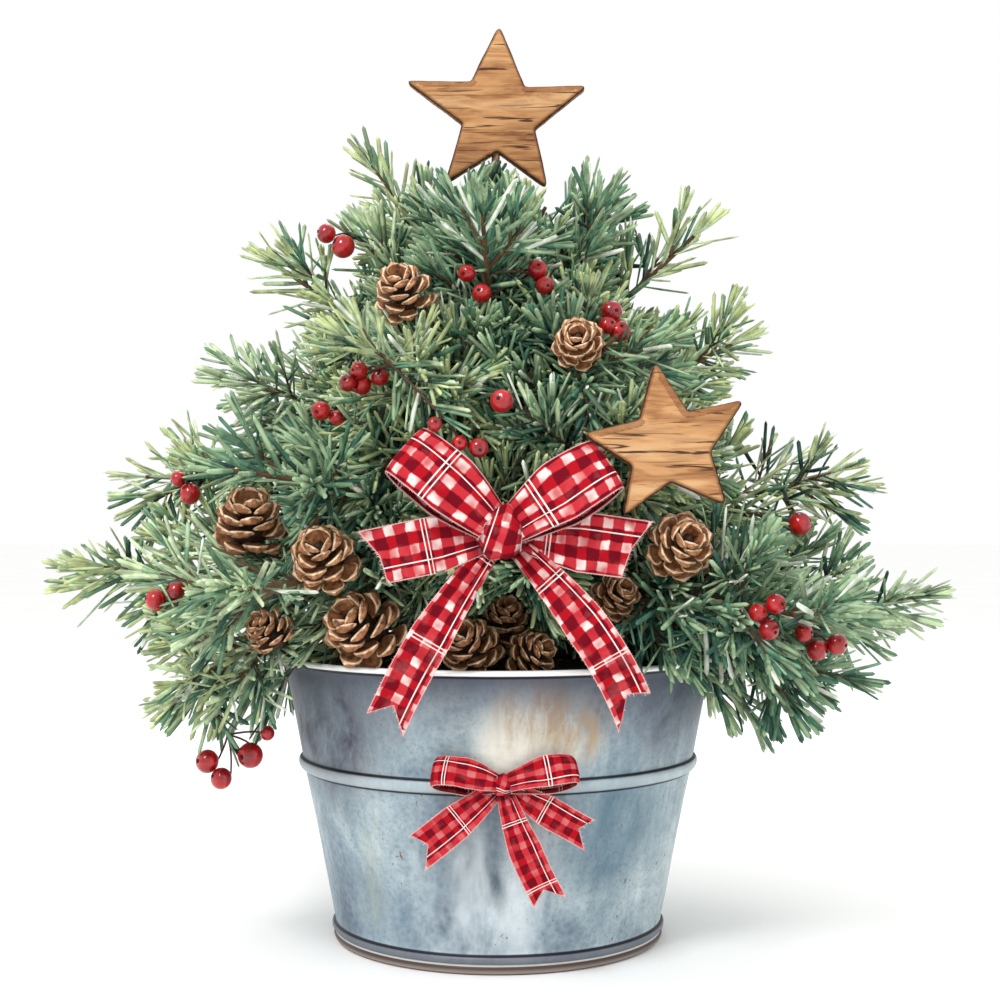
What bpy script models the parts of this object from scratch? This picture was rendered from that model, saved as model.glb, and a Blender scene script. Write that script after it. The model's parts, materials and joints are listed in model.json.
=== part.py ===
"""A table-top Christmas tree growing in a galvanised bucket, dressed with two wooden
stars, two ribbon bows, pine cones and red berries.

Frame: metres, +Z up, +X to the right and +Y away from the front of the tree.
The origin is the middle of the bucket's flat underside. Azimuths are counted from +X
towards +Y, so 270 degrees is the front.
"""

import math
import random

import bmesh
import bpy
from mathutils import Matrix, Vector
from mathutils.bvhtree import BVHTree

GAP = 0.0003  # between two pieces that touch
GOLDEN_ANGLE = math.radians(137.508)
CURVE_STEPS = 60
FRONT = Vector((0, -1, 0))
UP = Vector((0, 0, 1))

# Bucket: a tapered wall with a rolled rim, one swaged band and a double hem at its foot
BUCKET_HEIGHT = 0.195
RIM_RADIUS = 0.149
FOOT_RADIUS = 0.110
WALL = 0.0015
BASE_THICKNESS = 0.004
HEM_BEAD = 0.0062  # height of each of the hem's two beads
HEM_BULGE = 0.003
BAND_HEIGHT = 0.121
BAND_WIDTH = 0.009
BAND_BULGE = 0.0036
RIM_ROLL = 0.0028
BUCKET_SEGMENTS = 24

# Potting soil, mounded a little round the trunk
SOIL_EDGE_HEIGHT = 0.185
SOIL_TOP_HEIGHT = 0.195
SOIL_CROWN_RADIUS = 0.032
SOIL_SHOULDER_RADIUS = 0.077

# Trunk
TRUNK_FOOT = SOIL_TOP_HEIGHT + GAP
TRUNK_TIP = 0.5655
TRUNK_RADIUS = 0.0115
TRUNK_TIP_RADIUS = 0.0024
ROOT_FLARE = 0.007
FLARE_HEIGHT = 0.016
FLARE_STEP = 0.011
TRUNK_SWAY = 0.004
TRUNK_RINGS = 8
TRUNK_SIDES = 8

# Boughs of the low tier, which carry their foliage from this share of their length on
BOUGH_RADIUS = 0.0055
BOUGH_END_RADIUS = 0.0032
BOUGH_SHARE = 0.40
BOUGH_SIDES = 5
STAGGER = 0.009  # every second stem of a tier leaves the trunk this much higher
STEM_DEPTH = 0.6  # where a stem's axis starts inside the trunk, as a share of its radius

# Sprays of needles: a slim three-sided core with a row of teeth along each of its sides
STEM_RADIUS = 0.0054
STEM_TIP_RADIUS = 0.0034
STEM_STEP = 0.025
TWIG_RADIUS = 0.0044
TWIG_TIP_RADIUS = 0.0028
TWIG_STEP = 0.018
BARE_SHARE = 0.55  # a core is this much thinner where it has no needles
NEEDLE_LENGTH = 0.036
TWIG_NEEDLE_LENGTH = 0.034
END_NEEDLE_SHARE = 0.8  # length of the needle at a core's very end
NEEDLE_ANGLE = math.radians(42)
TWIG_ANGLE = math.radians(43)
TWIG_BEND = 0.12  # how far a twig's end bends towards its stem's heading, over its length
TWIG_FLATTEN = 0.75  # twigs above and below a stem are this much shorter than beside it
TWIG_LENGTHS = (1.15, 0.50)  # twigs near the trunk and near the tip, over the tier's length
LAST_TWIG = 0.9  # the last twig leaves the needled part of its stem before this share
TWIG_JITTER = 0.35
SHORTER = (1, 0.8, 0.6)  # a twig that has no room is tried again at these lengths
SHORTEST_TWIG = 0.024
CLEARANCE = 0.0006  # a twig that would come nearer than this to its neighbours is skipped

# Tiers of foliage, from the lowest. Each has a number of stems, the azimuth of the first
# and the span to the last, the height of their feet, how far they arch up, the length
# near the trunk that is bare, and the number and length of the side twigs. right and left
# are the reach and the height of the furthest needles on those sides, and depth is the
# reach to the front and back as a share of the reach sideways.
TIERS = {
    "skirt": dict(
        count=5, first=-28, span=236, foot=0.207, arch=0.056, bare=0.140, twigs=5,
        twig=0.062, right=(0.262, 0.150), left=(0.252, 0.158), depth=0.86,
    ),
    "low": dict(
        count=8, first=3, span=315, foot=0.232, arch=0.020, bare=0.0, twigs=6,
        twig=0.070, right=(0.317, 0.232), left=(0.314, 0.252), depth=0.90,
    ),
    "middle": dict(
        count=6, first=4, span=280, foot=0.270, arch=0.016, bare=0.045, twigs=7,
        twig=0.068, right=(0.280, 0.332), left=(0.280, 0.338), depth=0.92,
    ),
    "upper": dict(
        count=7, first=-12, span=308, foot=0.318, arch=0.008, bare=0.045, twigs=6,
        twig=0.062, right=(0.198, 0.425), left=(0.214, 0.408), depth=0.98,
    ),
    "high": dict(
        count=4, first=-2, span=268, foot=0.372, arch=-0.006, bare=0.035, twigs=6,
        twig=0.054, right=(0.166, 0.503), left=(0.184, 0.486), depth=0.92,
    ),
    "crest": dict(
        count=3, first=15, span=145, foot=0.430, arch=-0.012, bare=0.025, twigs=5,
        twig=0.042, right=(0.092, 0.540), left=(0.104, 0.562), depth=0.90,
    ),
    "leader": dict(
        count=2, first=225, span=100, foot=0.445, arch=-0.008, bare=0.022, twigs=4,
        twig=0.034, right=(0.056, 0.528), left=(0.060, 0.530), depth=1.00,
    ),
}
BOUGH_TIER = "low"
BOW_SPRAY = "low_7"  # carries the large bow on its end
STAR_SPRAY = "middle_6"  # carries the second star on its end
CARRYING_BARE = 0.80  # a carrying stem has no needles past this share of its length
TIP_REACH = 0.026  # the needles at a spray's tip reach this far past its stem

# Wooden stars
STAR_THICKNESS = 0.010
STAR_WAIST = 0.47  # inner over outer radius
STAR_TIP_ROUND = 0.004
STAR_EDGE_BEVEL = 0.0010
TOP_STAR_RADIUS = 0.0605
TOP_STAR_CENTRE = Vector((0.0, 0.0, 0.5715))
TOP_STAR_TURN = math.radians(-3)
SIDE_STAR_RADIUS = 0.047
SIDE_STAR_CENTRE = Vector((0.100, -0.175, 0.332))
SIDE_STAR_TURN = math.radians(9)

# Large bow, tied at the front of the crown
RIBBON_THICKNESS = 0.0012
BOW_CENTRE = Vector((0.003, -0.176, 0.279))
BOW_RIBBON = 0.036
BOW_KNOT = Vector((0.013, 0.009, 0.016))  # half sizes
BOW_LOOPS = ((138, 0.080), (36, 0.074))  # direction from the knot in degrees, and length
BOW_EARS = ((190, 0.080), (-6, 0.079))
BOW_TAILS = ((-0.071, -0.112), (0.078, -0.104))  # where each tail ends, from the knot
BOW_TAIL_WIDTH = 0.029
BOW_TAIL_SET_BACK = 0.012  # the ends hang this much nearer to the bucket than the knot
BOW_EAR_SET_BACK = 0.004
BOW_DEPTH = 0.013  # how far the loops bulge to the front

# Small bow on the bucket's band
SMALL_RIBBON = 0.018
SMALL_BOW_KNOT = Vector((0.0048, 0.0045, 0.0055))
SMALL_LOOPS = ((172, 0.040), (8, 0.044))
SMALL_TAILS = ((-0.052, -0.042), (0.026, -0.066), (0.050, -0.026))
SMALL_TAIL_SET_BACK = 0.002
SMALL_DEPTH = 0.0044

# Pine cones: where each is, its radius, and the way its tip points. The first lie on the
# soil and the rim, each lowered until it rests, and the others are wired to the sprays.
LYING_CONES = {
    "cone_left": ((-0.083, -0.122), 0.0235, (-0.5, -0.7, 0.45)),
    "cone_middle": ((-0.021, -0.114), 0.0200, (-0.3, -0.7, 0.55)),
    "cone_right": ((0.024, -0.116), 0.0155, (0.6, -0.5, 0.4)),
    "cone_back": ((0.008, -0.080), 0.0175, (0.2, -0.45, 0.9)),
}
WIRED_CONES = (
    ((-0.060, -0.100, 0.434), 0.018, (-0.3, -0.6, 0.8)),
    ((0.050, -0.132, 0.397), 0.016, (-0.1, -0.95, 0.25)),
    ((-0.158, -0.112, 0.286), 0.0225, (0.1, -0.5, 0.85)),
    ((-0.106, -0.150, 0.265), 0.0225, (-0.2, -0.8, 0.5)),
    ((-0.146, -0.118, 0.217), 0.0145, (-0.6, -0.5, 0.6)),
    ((0.075, -0.120, 0.240), 0.0160, (0.4, -0.8, 0.4)),
    ((0.112, -0.150, 0.272), 0.0220, (0.25, -0.9, 0.3)),
)
CONE_LENGTH = 2.1  # length over radius
CONE_RINGS = 4
CONE_SIDES = 8
CONE_RELIEF = 0.14
STALK_RADIUS = 0.0012

# Berry clusters: the middle of each and how many berries it has
BERRIES = (
    ((-0.109, -0.030, 0.478), 2),
    ((-0.016, -0.098, 0.440), 2),
    ((0.028, -0.090, 0.444), 2),
    ((0.073, -0.098, 0.415), 3),
    ((-0.088, -0.118, 0.376), 3),
    ((-0.110, -0.112, 0.355), 2),
    ((0.002, -0.158, 0.358), 1),
    ((-0.024, -0.176, 0.336), 3),
    ((-0.213, -0.034, 0.310), 2),
    ((-0.226, -0.030, 0.236), 2),
    ((0.206, -0.022, 0.284), 1),
    ((0.172, -0.090, 0.226), 3),
    ((0.208, -0.080, 0.208), 3),
    ((-0.168, -0.090, 0.134), 3),
)
BERRY_RADIUS = 0.0070


# ---------------------------------------------------------------- basic tools


def material(name, colour, roughness, metallic=0.0):
    made = bpy.data.materials.new(name)
    made.use_nodes = True
    shader = made.node_tree.nodes["Principled BSDF"]
    shader.inputs["Base Color"].default_value = (*colour, 1)
    shader.inputs["Roughness"].default_value = roughness
    shader.inputs["Metallic"].default_value = metallic
    return made


def mesh_object(name, shape, finish, collection=None):
    """An object from (vertices, faces), with its faces turned outwards."""
    vertices, faces = shape
    mesh = bpy.data.meshes.new(name)
    mesh.from_pydata(vertices, [], faces)
    shell = bmesh.new()
    shell.from_mesh(mesh)
    bmesh.ops.recalc_face_normals(shell, faces=shell.faces)
    shell.to_mesh(mesh)
    shell.free()
    mesh.materials.append(finish)
    made = bpy.data.objects.new(name, mesh)
    (collection or bpy.context.scene.collection).objects.link(made)
    return made


def smooth(obj, degrees=40):
    obj.data.shade_smooth()
    obj.data.set_sharp_from_angle(angle=math.radians(degrees))
    return obj


def applied(obj):
    """Applies the object's modifiers to its mesh."""
    bpy.context.view_layer.update()
    graph = bpy.context.evaluated_depsgraph_get()
    mesh = bpy.data.meshes.new_from_object(obj.evaluated_get(graph))
    obj.modifiers.clear()
    obj.data = mesh
    return obj


def boolean(obj, operation, other):
    """Cuts or joins obj with an object or with a whole collection, and applies it."""
    modifier = obj.modifiers.new(operation.lower(), "BOOLEAN")
    modifier.operation = operation
    if isinstance(other, bpy.types.Collection):
        modifier.operand_type = "COLLECTION"
        modifier.collection = other
    else:
        modifier.object = other
    return applied(obj)


def drop_scraps(obj):
    """Keeps the object's largest connected piece."""
    shell = bmesh.new()
    shell.from_mesh(obj.data)
    waiting = set(shell.verts)
    islands = []
    while waiting:
        island, edge = set(), [waiting.pop()]
        while edge:
            vertex = edge.pop()
            island.add(vertex)
            near = {e.other_vert(vertex) for e in vertex.link_edges} & waiting
            waiting -= near
            edge.extend(near)
        islands.append(island)
    islands.sort(key=len)
    scraps = [vertex for island in islands[:-1] for vertex in island]
    bmesh.ops.delete(shell, geom=scraps, context="VERTS")
    shell.to_mesh(obj.data)
    shell.free()
    return obj


def fused(name, shapes, finish, cutter=None):
    """One body: the first shape, cut clear of the cutter, with all the others joined on."""
    body = mesh_object(name, shapes[0], finish)
    if cutter:
        boolean(body, "DIFFERENCE", cutter)
    if len(shapes) > 1:
        extras = bpy.data.collections.new(name + "_extras")
        bpy.context.scene.collection.children.link(extras)
        for number, shape in enumerate(shapes[1:]):
            mesh_object(f"{name}_extra{number}", shape, finish, extras)
        boolean(body, "UNION", extras)
        for extra in list(extras.objects):
            bpy.data.objects.remove(extra)
        bpy.data.collections.remove(extras)
    return drop_scraps(body)


def lathe(profile, segments):
    """(vertices, faces) of a profile of (radius, height) pairs turned about Z."""
    vertices, rings = [], []
    for radius, height in profile:
        count = segments if radius > 0 else 1
        rings.append([len(vertices) + k for k in range(count)])
        for k in range(count):
            turn = 2 * math.pi * k / segments
            vertices.append(Vector((radius * math.cos(turn), radius * math.sin(turn), height)))
    faces = []
    for low, high in zip(rings, rings[1:]):
        faces += bridge(low, high)
    return vertices, faces


def bridge(low, high):
    """Faces between two rings of vertex numbers, either of which may be a single point."""
    count = max(len(low), len(high))
    faces = []
    for k in range(count):
        corners = [low[k % len(low)], low[(k + 1) % len(low)]]
        corners += [high[(k + 1) % len(high)], high[k % len(high)]]
        faces.append(list(dict.fromkeys(corners)))
    return faces


def curve(start, control, end, count):
    """count + 1 points along a quadratic curve."""
    points = []
    for i in range(count + 1):
        t = i / count
        points.append(start * (1 - t) ** 2 + control * 2 * t * (1 - t) + end * t * t)
    return points


def frames(points, side_hint):
    """(tangent, side, up) at each point, carried along the path without twist."""
    made, side = [], side_hint
    for i in range(len(points)):
        ahead = points[min(i + 1, len(points) - 1)] - points[max(i - 1, 0)]
        tangent = ahead.normalized()
        side = (side - tangent * side.dot(tangent)).normalized()
        made.append((tangent, side, tangent.cross(side)))
    return made


def limb(points, radii, sides):
    """(vertices, faces) of a round limb with flat ends."""
    vertices, rings = [], []
    for point, radius, (_, side, up) in zip(points, radii, frames(points, side_of(points))):
        rings.append(list(range(len(vertices), len(vertices) + sides)))
        for k in range(sides):
            turn = 2 * math.pi * k / sides
            vertices.append(point + (side * math.cos(turn) + up * math.sin(turn)) * radius)
    faces = [rings[0], rings[-1]]
    for low, high in zip(rings, rings[1:]):
        faces += bridge(low, high)
    return vertices, faces


def side_of(points):
    """A level direction across a path."""
    along = (points[-1] - points[0]).normalized()
    across = along.cross(UP)
    return across.normalized() if across.length > 0.05 else Vector((1, 0, 0))


def shape_of(obj):
    """An object's evaluated mesh as (vertices, faces) in world space."""
    bpy.context.view_layer.update()
    found = obj.evaluated_get(bpy.context.evaluated_depsgraph_get())
    vertices = [found.matrix_world @ v.co for v in found.data.vertices]
    return vertices, [list(p.vertices) for p in found.data.polygons]


# ---------------------------------------------------------------- bucket, soil, trunk


def wall_radius(height):
    return FOOT_RADIUS + (RIM_RADIUS - FOOT_RADIUS) * height / BUCKET_HEIGHT


def bead(middle, width, bulge, steps=2):
    """Profile points of a half-round bead that stands out of the wall."""
    points = []
    for i in range(steps + 1):
        turn = math.pi * i / steps
        height = middle - math.cos(turn) * width / 2
        points.append((wall_radius(height) + bulge * math.sin(turn), height))
    return points


def bucket(finish):
    roll_middle = Vector((RIM_RADIUS + RIM_ROLL * 0.4, BUCKET_HEIGHT - RIM_ROLL))
    roll = []
    for degrees in range(-50, 221, 90):
        turn = math.radians(degrees)
        roll.append(tuple(roll_middle + RIM_ROLL * Vector((math.cos(turn), math.sin(turn)))))
    floor_radius = wall_radius(BASE_THICKNESS) - WALL
    profile = [(0, 0), (FOOT_RADIUS, 0)]
    profile += bead(HEM_BEAD / 2, HEM_BEAD, HEM_BULGE)[1:]
    profile += bead(HEM_BEAD * 1.5, HEM_BEAD, HEM_BULGE)[1:]
    profile += bead(BAND_HEIGHT, BAND_WIDTH, BAND_BULGE) + roll
    profile += [(floor_radius, BASE_THICKNESS), (0, BASE_THICKNESS)]
    return smooth(mesh_object("bucket", lathe(profile, BUCKET_SEGMENTS), finish))


def soil(finish):
    bottom = BASE_THICKNESS + GAP
    clear = WALL + 2 * GAP

    def edge(height):
        return wall_radius(height) - clear

    profile = [
        (0, bottom),
        (edge(bottom), bottom),
        (edge(SOIL_EDGE_HEIGHT), SOIL_EDGE_HEIGHT),
        (SOIL_SHOULDER_RADIUS, (SOIL_EDGE_HEIGHT + SOIL_TOP_HEIGHT * 2) / 3),
        (SOIL_CROWN_RADIUS, SOIL_TOP_HEIGHT),
        (0, SOIL_TOP_HEIGHT),
    ]
    return mesh_object("soil", lathe(profile, BUCKET_SEGMENTS), finish)


def trunk_point(height):
    """The middle of the trunk at a height."""
    share = (height - TRUNK_FOOT) / (TRUNK_TIP - TRUNK_FOOT)
    sway_x = TRUNK_SWAY * math.sin(2 * math.pi * share)
    sway_y = TRUNK_SWAY * math.sin(math.pi * share)
    return Vector((sway_x, sway_y, height))


def trunk_radius(height):
    share = (height - TRUNK_FOOT) / (TRUNK_TIP - TRUNK_FOOT)
    taper = TRUNK_TIP_RADIUS + (TRUNK_RADIUS - TRUNK_TIP_RADIUS) * (1 - share)
    return taper + ROOT_FLARE * math.exp(-(height - TRUNK_FOOT) / FLARE_HEIGHT)


def trunk_shape(extra=0.0):
    """The trunk in level rings, or with extra the space that it keeps clear."""
    heights = [TRUNK_FOOT - extra + step * FLARE_STEP for step in range(3)]
    rise = (TRUNK_TIP + extra - heights[-1]) / TRUNK_RINGS
    heights += [heights[-1] + rise * (i + 1) for i in range(TRUNK_RINGS)]
    vertices, rings = [], []
    for height in heights:
        middle = trunk_point(min(max(height, TRUNK_FOOT), TRUNK_TIP))
        radius = trunk_radius(height) + extra
        rings.append(list(range(len(vertices), len(vertices) + TRUNK_SIDES)))
        for k in range(TRUNK_SIDES):
            turn = 2 * math.pi * k / TRUNK_SIDES
            vertices.append(Vector((middle.x, middle.y, height)) + outwards_at(turn) * radius)
    faces = [rings[0], rings[-1]]
    for low, high in zip(rings, rings[1:]):
        faces += bridge(low, high)
    return vertices, faces


def outwards_at(azimuth):
    return Vector((math.cos(azimuth), math.sin(azimuth), 0))


def trunk_clearance():
    """The cutter that leaves a gap between the trunk and what grows from it."""
    cutter = mesh_object("trunk_clearance", trunk_shape(GAP), bpy.data.materials["bark"])
    cutter.hide_render = True
    cutter.display_type = "WIRE"
    return cutter


# ---------------------------------------------------------------- boughs and needles


class Spray:
    """One mass of needles: the way of its stem, where its needles begin and end, and its
    twigs. carried has the points on ornaments' backs that some stems' ends stand against."""

    def __init__(self, tier, number, carried):
        settings = TIERS[tier]
        self.name = f"{tier}_{number + 1}"
        self.tier = tier
        self.twig_count, self.twig_length = settings["twigs"], settings["twig"]
        spacing = settings["span"] / max(1, settings["count"] - 1)
        azimuth = math.radians(settings["first"] + spacing * number)
        outwards = outwards_at(azimuth)
        right, left = Vector(settings["right"]), Vector(settings["left"])
        reach, height = left.lerp(right, (1 + math.cos(azimuth)) / 2)
        reach *= 1 - (1 - settings["depth"]) * abs(math.sin(azimuth))
        foot = settings["foot"] + STAGGER * (number % 2)
        self.start = trunk_point(foot) + outwards * trunk_radius(foot) * STEM_DEPTH
        self.blunt = self.name in carried
        if self.blunt:
            self.end = carried[self.name] - FRONT * GAP * 2
            self.control = Vector((self.end.x, (self.start.y + self.end.y) / 2, self.end.z))
        else:
            tip = outwards * reach + UP * height
            self.control = (self.start + tip) / 2 + UP * settings["arch"]
            self.end = tip - (tip - self.control).normalized() * TIP_REACH
        first_share = BOUGH_SHARE if tier == BOUGH_TIER else 0
        self.points = self.stem_points(first_share)
        if first_share:
            self.points[0] += (self.points[1] - self.points[0]).normalized() * GAP
        segments = len(self.points) - 1
        first_tooth = round(settings["bare"] / STEM_STEP)
        last_tooth = math.floor(CARRYING_BARE * segments) if self.blunt else segments
        self.toothed = range(first_tooth, last_tooth)

    def bough_points(self):
        """Points of the bare first part of the stem, which is a bough of its own."""
        whole = curve(self.start, self.control, self.end, CURVE_STEPS)
        return whole[: round(BOUGH_SHARE * CURVE_STEPS) + 1 : 4]

    def stem_points(self, first_share):
        """Points along the stem, from a share of its length to its end."""
        whole = curve(self.start, self.control, self.end, CURVE_STEPS)
        points = whole[round(first_share * CURVE_STEPS) :]
        length = sum((b - a).length for a, b in zip(points, points[1:]))
        count = max(4, round(length / STEM_STEP))
        return [points[round(i * (len(points) - 1) / count)] for i in range(count + 1)]

    def stem_shape(self, grow=0.0):
        radii = tapered(STEM_RADIUS, STEM_TIP_RADIUS, len(self.points))
        side = side_of(self.points)
        return toothed(self.points, radii, side, self.toothed, NEEDLE_LENGTH, self.blunt, grow)

    def twig_plans(self):
        """Each side twig's foot, heading, its stem's heading, its length and its roll."""
        rng = random.Random(self.name)
        frame = frames(self.points, side_of(self.points))
        segments = len(self.points) - 1
        for number in range(self.twig_count):
            along = (number + rng.uniform(0.1, 0.6)) / self.twig_count
            at = self.toothed.start + (self.toothed.stop - self.toothed.start) * along * LAST_TWIG
            low = min(int(at), segments - 1)
            foot = self.points[low].lerp(self.points[low + 1], at - low)
            turn = number * GOLDEN_ANGLE + rng.uniform(-TWIG_JITTER, TWIG_JITTER)
            tangent, side, up = frame[low]
            across = side * math.cos(turn) + up * math.sin(turn)
            stretch = TWIG_FLATTEN + (1 - TWIG_FLATTEN) * abs(math.cos(turn))
            near, far = TWIG_LENGTHS
            length = self.twig_length * stretch * (near + (far - near) * along)
            length *= rng.uniform(0.85, 1.1)
            heading = tangent * math.cos(TWIG_ANGLE) + across * math.sin(TWIG_ANGLE)
            yield foot, heading, tangent, length, rng.uniform(0, math.pi)

    def shapes(self, obstacles):
        """The stem, and every side twig that keeps clear of the obstacles."""
        made = [self.stem_shape()]
        for foot, heading, tangent, length, roll in self.twig_plans():
            for share in SHORTER:
                plan = (foot, heading, tangent, length * share, roll)
                if length * share < SHORTEST_TWIG:
                    break
                if not touches(twig_shape(*plan, CLEARANCE), obstacles):
                    made.append(twig_shape(*plan))
                    break
        return made


def toothed(points, radii, side_hint, toothed_rows, needle, blunt, grow):
    """(vertices, faces) of a three-sided core with a tooth on each side of some of its
    segments, and one at its tip unless it is blunt. grow adds a clearance all round."""
    vertices, faces, rings = [], [], []
    frame = frames(points, side_hint)
    corners = [math.radians(degrees) for degrees in (30, 150, 270)]
    for i, (point, radius, (_, side, up)) in enumerate(zip(points, radii, frame)):
        within = i in toothed_rows and i - 1 in toothed_rows
        reach = radius * (1 if within else BARE_SHARE) + grow
        rings.append(range(len(vertices), len(vertices) + 3))
        vertices += [point + (side * math.cos(t) + up * math.sin(t)) * reach for t in corners]
    length = needle + grow
    for i, (low, high) in enumerate(zip(rings, rings[1:])):
        if i not in toothed_rows:
            faces += bridge(low, high)
            continue
        tangent, side, up = frame[i]
        for corner, turn in enumerate(corners):
            after = (corner + 1) % 3
            facing = turn + math.pi / 3
            outwards = side * math.cos(facing) + up * math.sin(facing)
            reach = tangent * math.cos(NEEDLE_ANGLE) + outwards * math.sin(NEEDLE_ANGLE)
            tip = len(vertices)
            vertices.append((points[i] + points[i + 1]) / 2 + reach * length)
            base = (low[corner], low[after], high[after], high[corner], low[corner])
            faces += [[a, b, tip] for a, b in zip(base, base[1:])]
    faces.append(list(rings[0]))
    if blunt:
        faces.append(list(rings[-1]))
    else:
        tip = len(vertices)
        vertices.append(points[-1] + frame[-1][0] * (length * END_NEEDLE_SHARE))
        faces += bridge(rings[-1], [tip])
    return vertices, faces


def tapered(first, last, count):
    return [first + (last - first) * i / (count - 1) for i in range(count)]


def twig_shape(foot, heading, tangent, length, roll, grow=0.0):
    """A side twig that leaves its stem at an angle and bends a little forwards."""
    end = foot + (heading + tangent * TWIG_BEND) * length
    count = max(2, round(length / TWIG_STEP))
    points = curve(foot, foot + heading * length * 0.5, end, count)
    radii = tapered(TWIG_RADIUS, TWIG_TIP_RADIUS, len(points))
    side = Matrix.Rotation(roll, 3, heading) @ side_of(points)
    return toothed(points, radii, side, range(1, count), TWIG_NEEDLE_LENGTH, False, grow)


def bough(name, points, finish, cutter):
    radii = tapered(BOUGH_RADIUS, BOUGH_END_RADIUS, len(points))
    made = mesh_object(name, limb(points, radii, BOUGH_SIDES), finish)
    return smooth(boolean(made, "DIFFERENCE", cutter), 60)


class Obstacle:
    """A shape that others keep clear of."""

    def __init__(self, shape):
        self.low, self.high = bounds_of(shape[0])
        self.tree = BVHTree.FromPolygons(*shape)


def bounds_of(vertices):
    low = [min(v[k] for v in vertices) for k in range(3)]
    high = [max(v[k] for v in vertices) for k in range(3)]
    return low, high


def touches(shape, obstacles):
    """True if a shape runs into any of the obstacles."""
    one = Obstacle(shape)
    for other in obstacles:
        apart = any(one.low[k] > other.high[k] or one.high[k] < other.low[k] for k in range(3))
        if not apart and one.tree.overlap(other.tree):
            return True
    return False


# ---------------------------------------------------------------- ornaments


def star(name, radius, centre, turn, finish):
    """A flat five-pointed star with rounded tips, its face to the front."""
    outline = []
    for i in range(10):
        angle = turn + math.pi / 2 + math.pi * i / 5
        reach = radius if i % 2 == 0 else radius * STAR_WAIST
        outline.append(Vector((math.cos(angle) * reach, 0, math.sin(angle) * reach)))
    shell = bmesh.new()
    corners = [shell.verts.new(point + FRONT * STAR_THICKNESS / 2) for point in outline]
    shell.faces.new(corners)
    bmesh.ops.bevel(
        shell,
        geom=corners[::2],
        offset=STAR_TIP_ROUND,
        segments=2,
        profile=0.5,
        affect="VERTICES",
    )
    front = shell.faces[:]
    made = bmesh.ops.extrude_face_region(shell, geom=front, use_keep_orig=True)
    back = [item for item in made["geom"] if isinstance(item, bmesh.types.BMVert)]
    bmesh.ops.translate(shell, verts=back, vec=-FRONT * STAR_THICKNESS)
    bmesh.ops.recalc_face_normals(shell, faces=shell.faces)
    flat_edges = [e for e in shell.edges if abs(e.verts[0].co.y - e.verts[1].co.y) < 1e-6]
    bmesh.ops.bevel(shell, geom=flat_edges, offset=STAR_EDGE_BEVEL, segments=1, affect="EDGES")
    mesh = bpy.data.meshes.new(name)
    shell.to_mesh(mesh)
    shell.free()
    mesh.transform(Matrix.Translation(centre))
    mesh.materials.append(finish)
    made = bpy.data.objects.new(name, mesh)
    bpy.context.scene.collection.objects.link(made)
    return made


def ribbon(centres, across, notch=0.0):
    """A strip of ribbon. Its last end is cut back to a notch in the middle."""
    vertices, rings = [], []
    for i, (centre, half) in enumerate(zip(centres, across)):
        ahead = centres[min(i + 1, len(centres) - 1)] - centres[max(i - 1, 0)]
        normal = ahead.cross(half).normalized() * (RIBBON_THICKNESS / 2)
        rings.append(range(len(vertices), len(vertices) + 4))
        for corner in (half + normal, -half + normal, -half - normal, half - normal):
            vertices.append(centre + corner)
    faces = [list(rings[0])]
    for low, high in zip(rings, rings[1:]):
        faces += bridge(low, high)
    if not notch:
        return vertices, faces + [list(rings[-1])]
    low, high = rings[-2], rings[-1]
    middle = centres[-1] - ahead.normalized() * notch
    over, under = len(vertices), len(vertices) + 1
    vertices += [middle + normal, middle - normal]
    flat = ([low[0], low[1], high[1], high[0]], [low[2], low[3], high[3], high[2]])
    faces = [face for face in faces if sorted(face) not in [sorted(side) for side in flat]]
    for (a, b, c, d), point in zip(flat, (over, under)):
        faces += [[a, b, point], [b, c, point], [d, a, point]]
    faces += [[high[1], high[2], under, over], [high[3], high[0], over, under]]
    return vertices, faces


def loop_ribbon(centre, degrees, length, width, depth):
    """A bow's loop: out from the knot in front, round, and back to it behind."""
    turn = math.radians(degrees)
    along = Vector((math.cos(turn), 0, math.sin(turn)))
    across = Vector((-math.sin(turn), 0, math.cos(turn)))
    centres, halves = [], []
    count = 6
    for i in range(count + 1):
        angle = math.pi * (i / count * 1.84 + 0.08)
        out = length * (1 - math.cos(angle)) / 2
        away = depth * math.sin(angle) * (0.35 + 0.65 * out / length)
        centres.append(centre + along * out + FRONT * away)
        spread = min(1, 0.3 + 1.1 * out / length)
        halves.append(across * (width / 2 * spread))
    return ribbon(centres, halves)


def tail_ribbon(centre, end, width, swing, notch, count=4):
    """A bow's tail: from the knot to an end that is given from it, with a notched cut."""
    target = centre + end
    bend = (centre + target) / 2 + FRONT * swing + UP * swing * 0.5
    centres = curve(centre, bend, target, count)
    halves = []
    for i in range(len(centres)):
        ahead = centres[min(i + 1, count)] - centres[max(i - 1, 0)]
        across = ahead.cross(FRONT).normalized()
        spread = min(1, 0.3 + 1.5 * i / count)
        halves.append(across * (width / 2 * spread))
    return ribbon(centres, halves, notch)


def knot(centre, sizes):
    """A rounded lump with a flat back."""
    profile = [(0, -1), (0.72, -1), (1, -0.3), (0.85, 0.6), (0, 1)]
    vertices, faces = lathe(profile, 8)
    placed = []
    for x, y, z in vertices:
        placed.append(centre + Vector((x * sizes.x, -z * sizes.y, y * sizes.z)))
    return placed, faces


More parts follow.
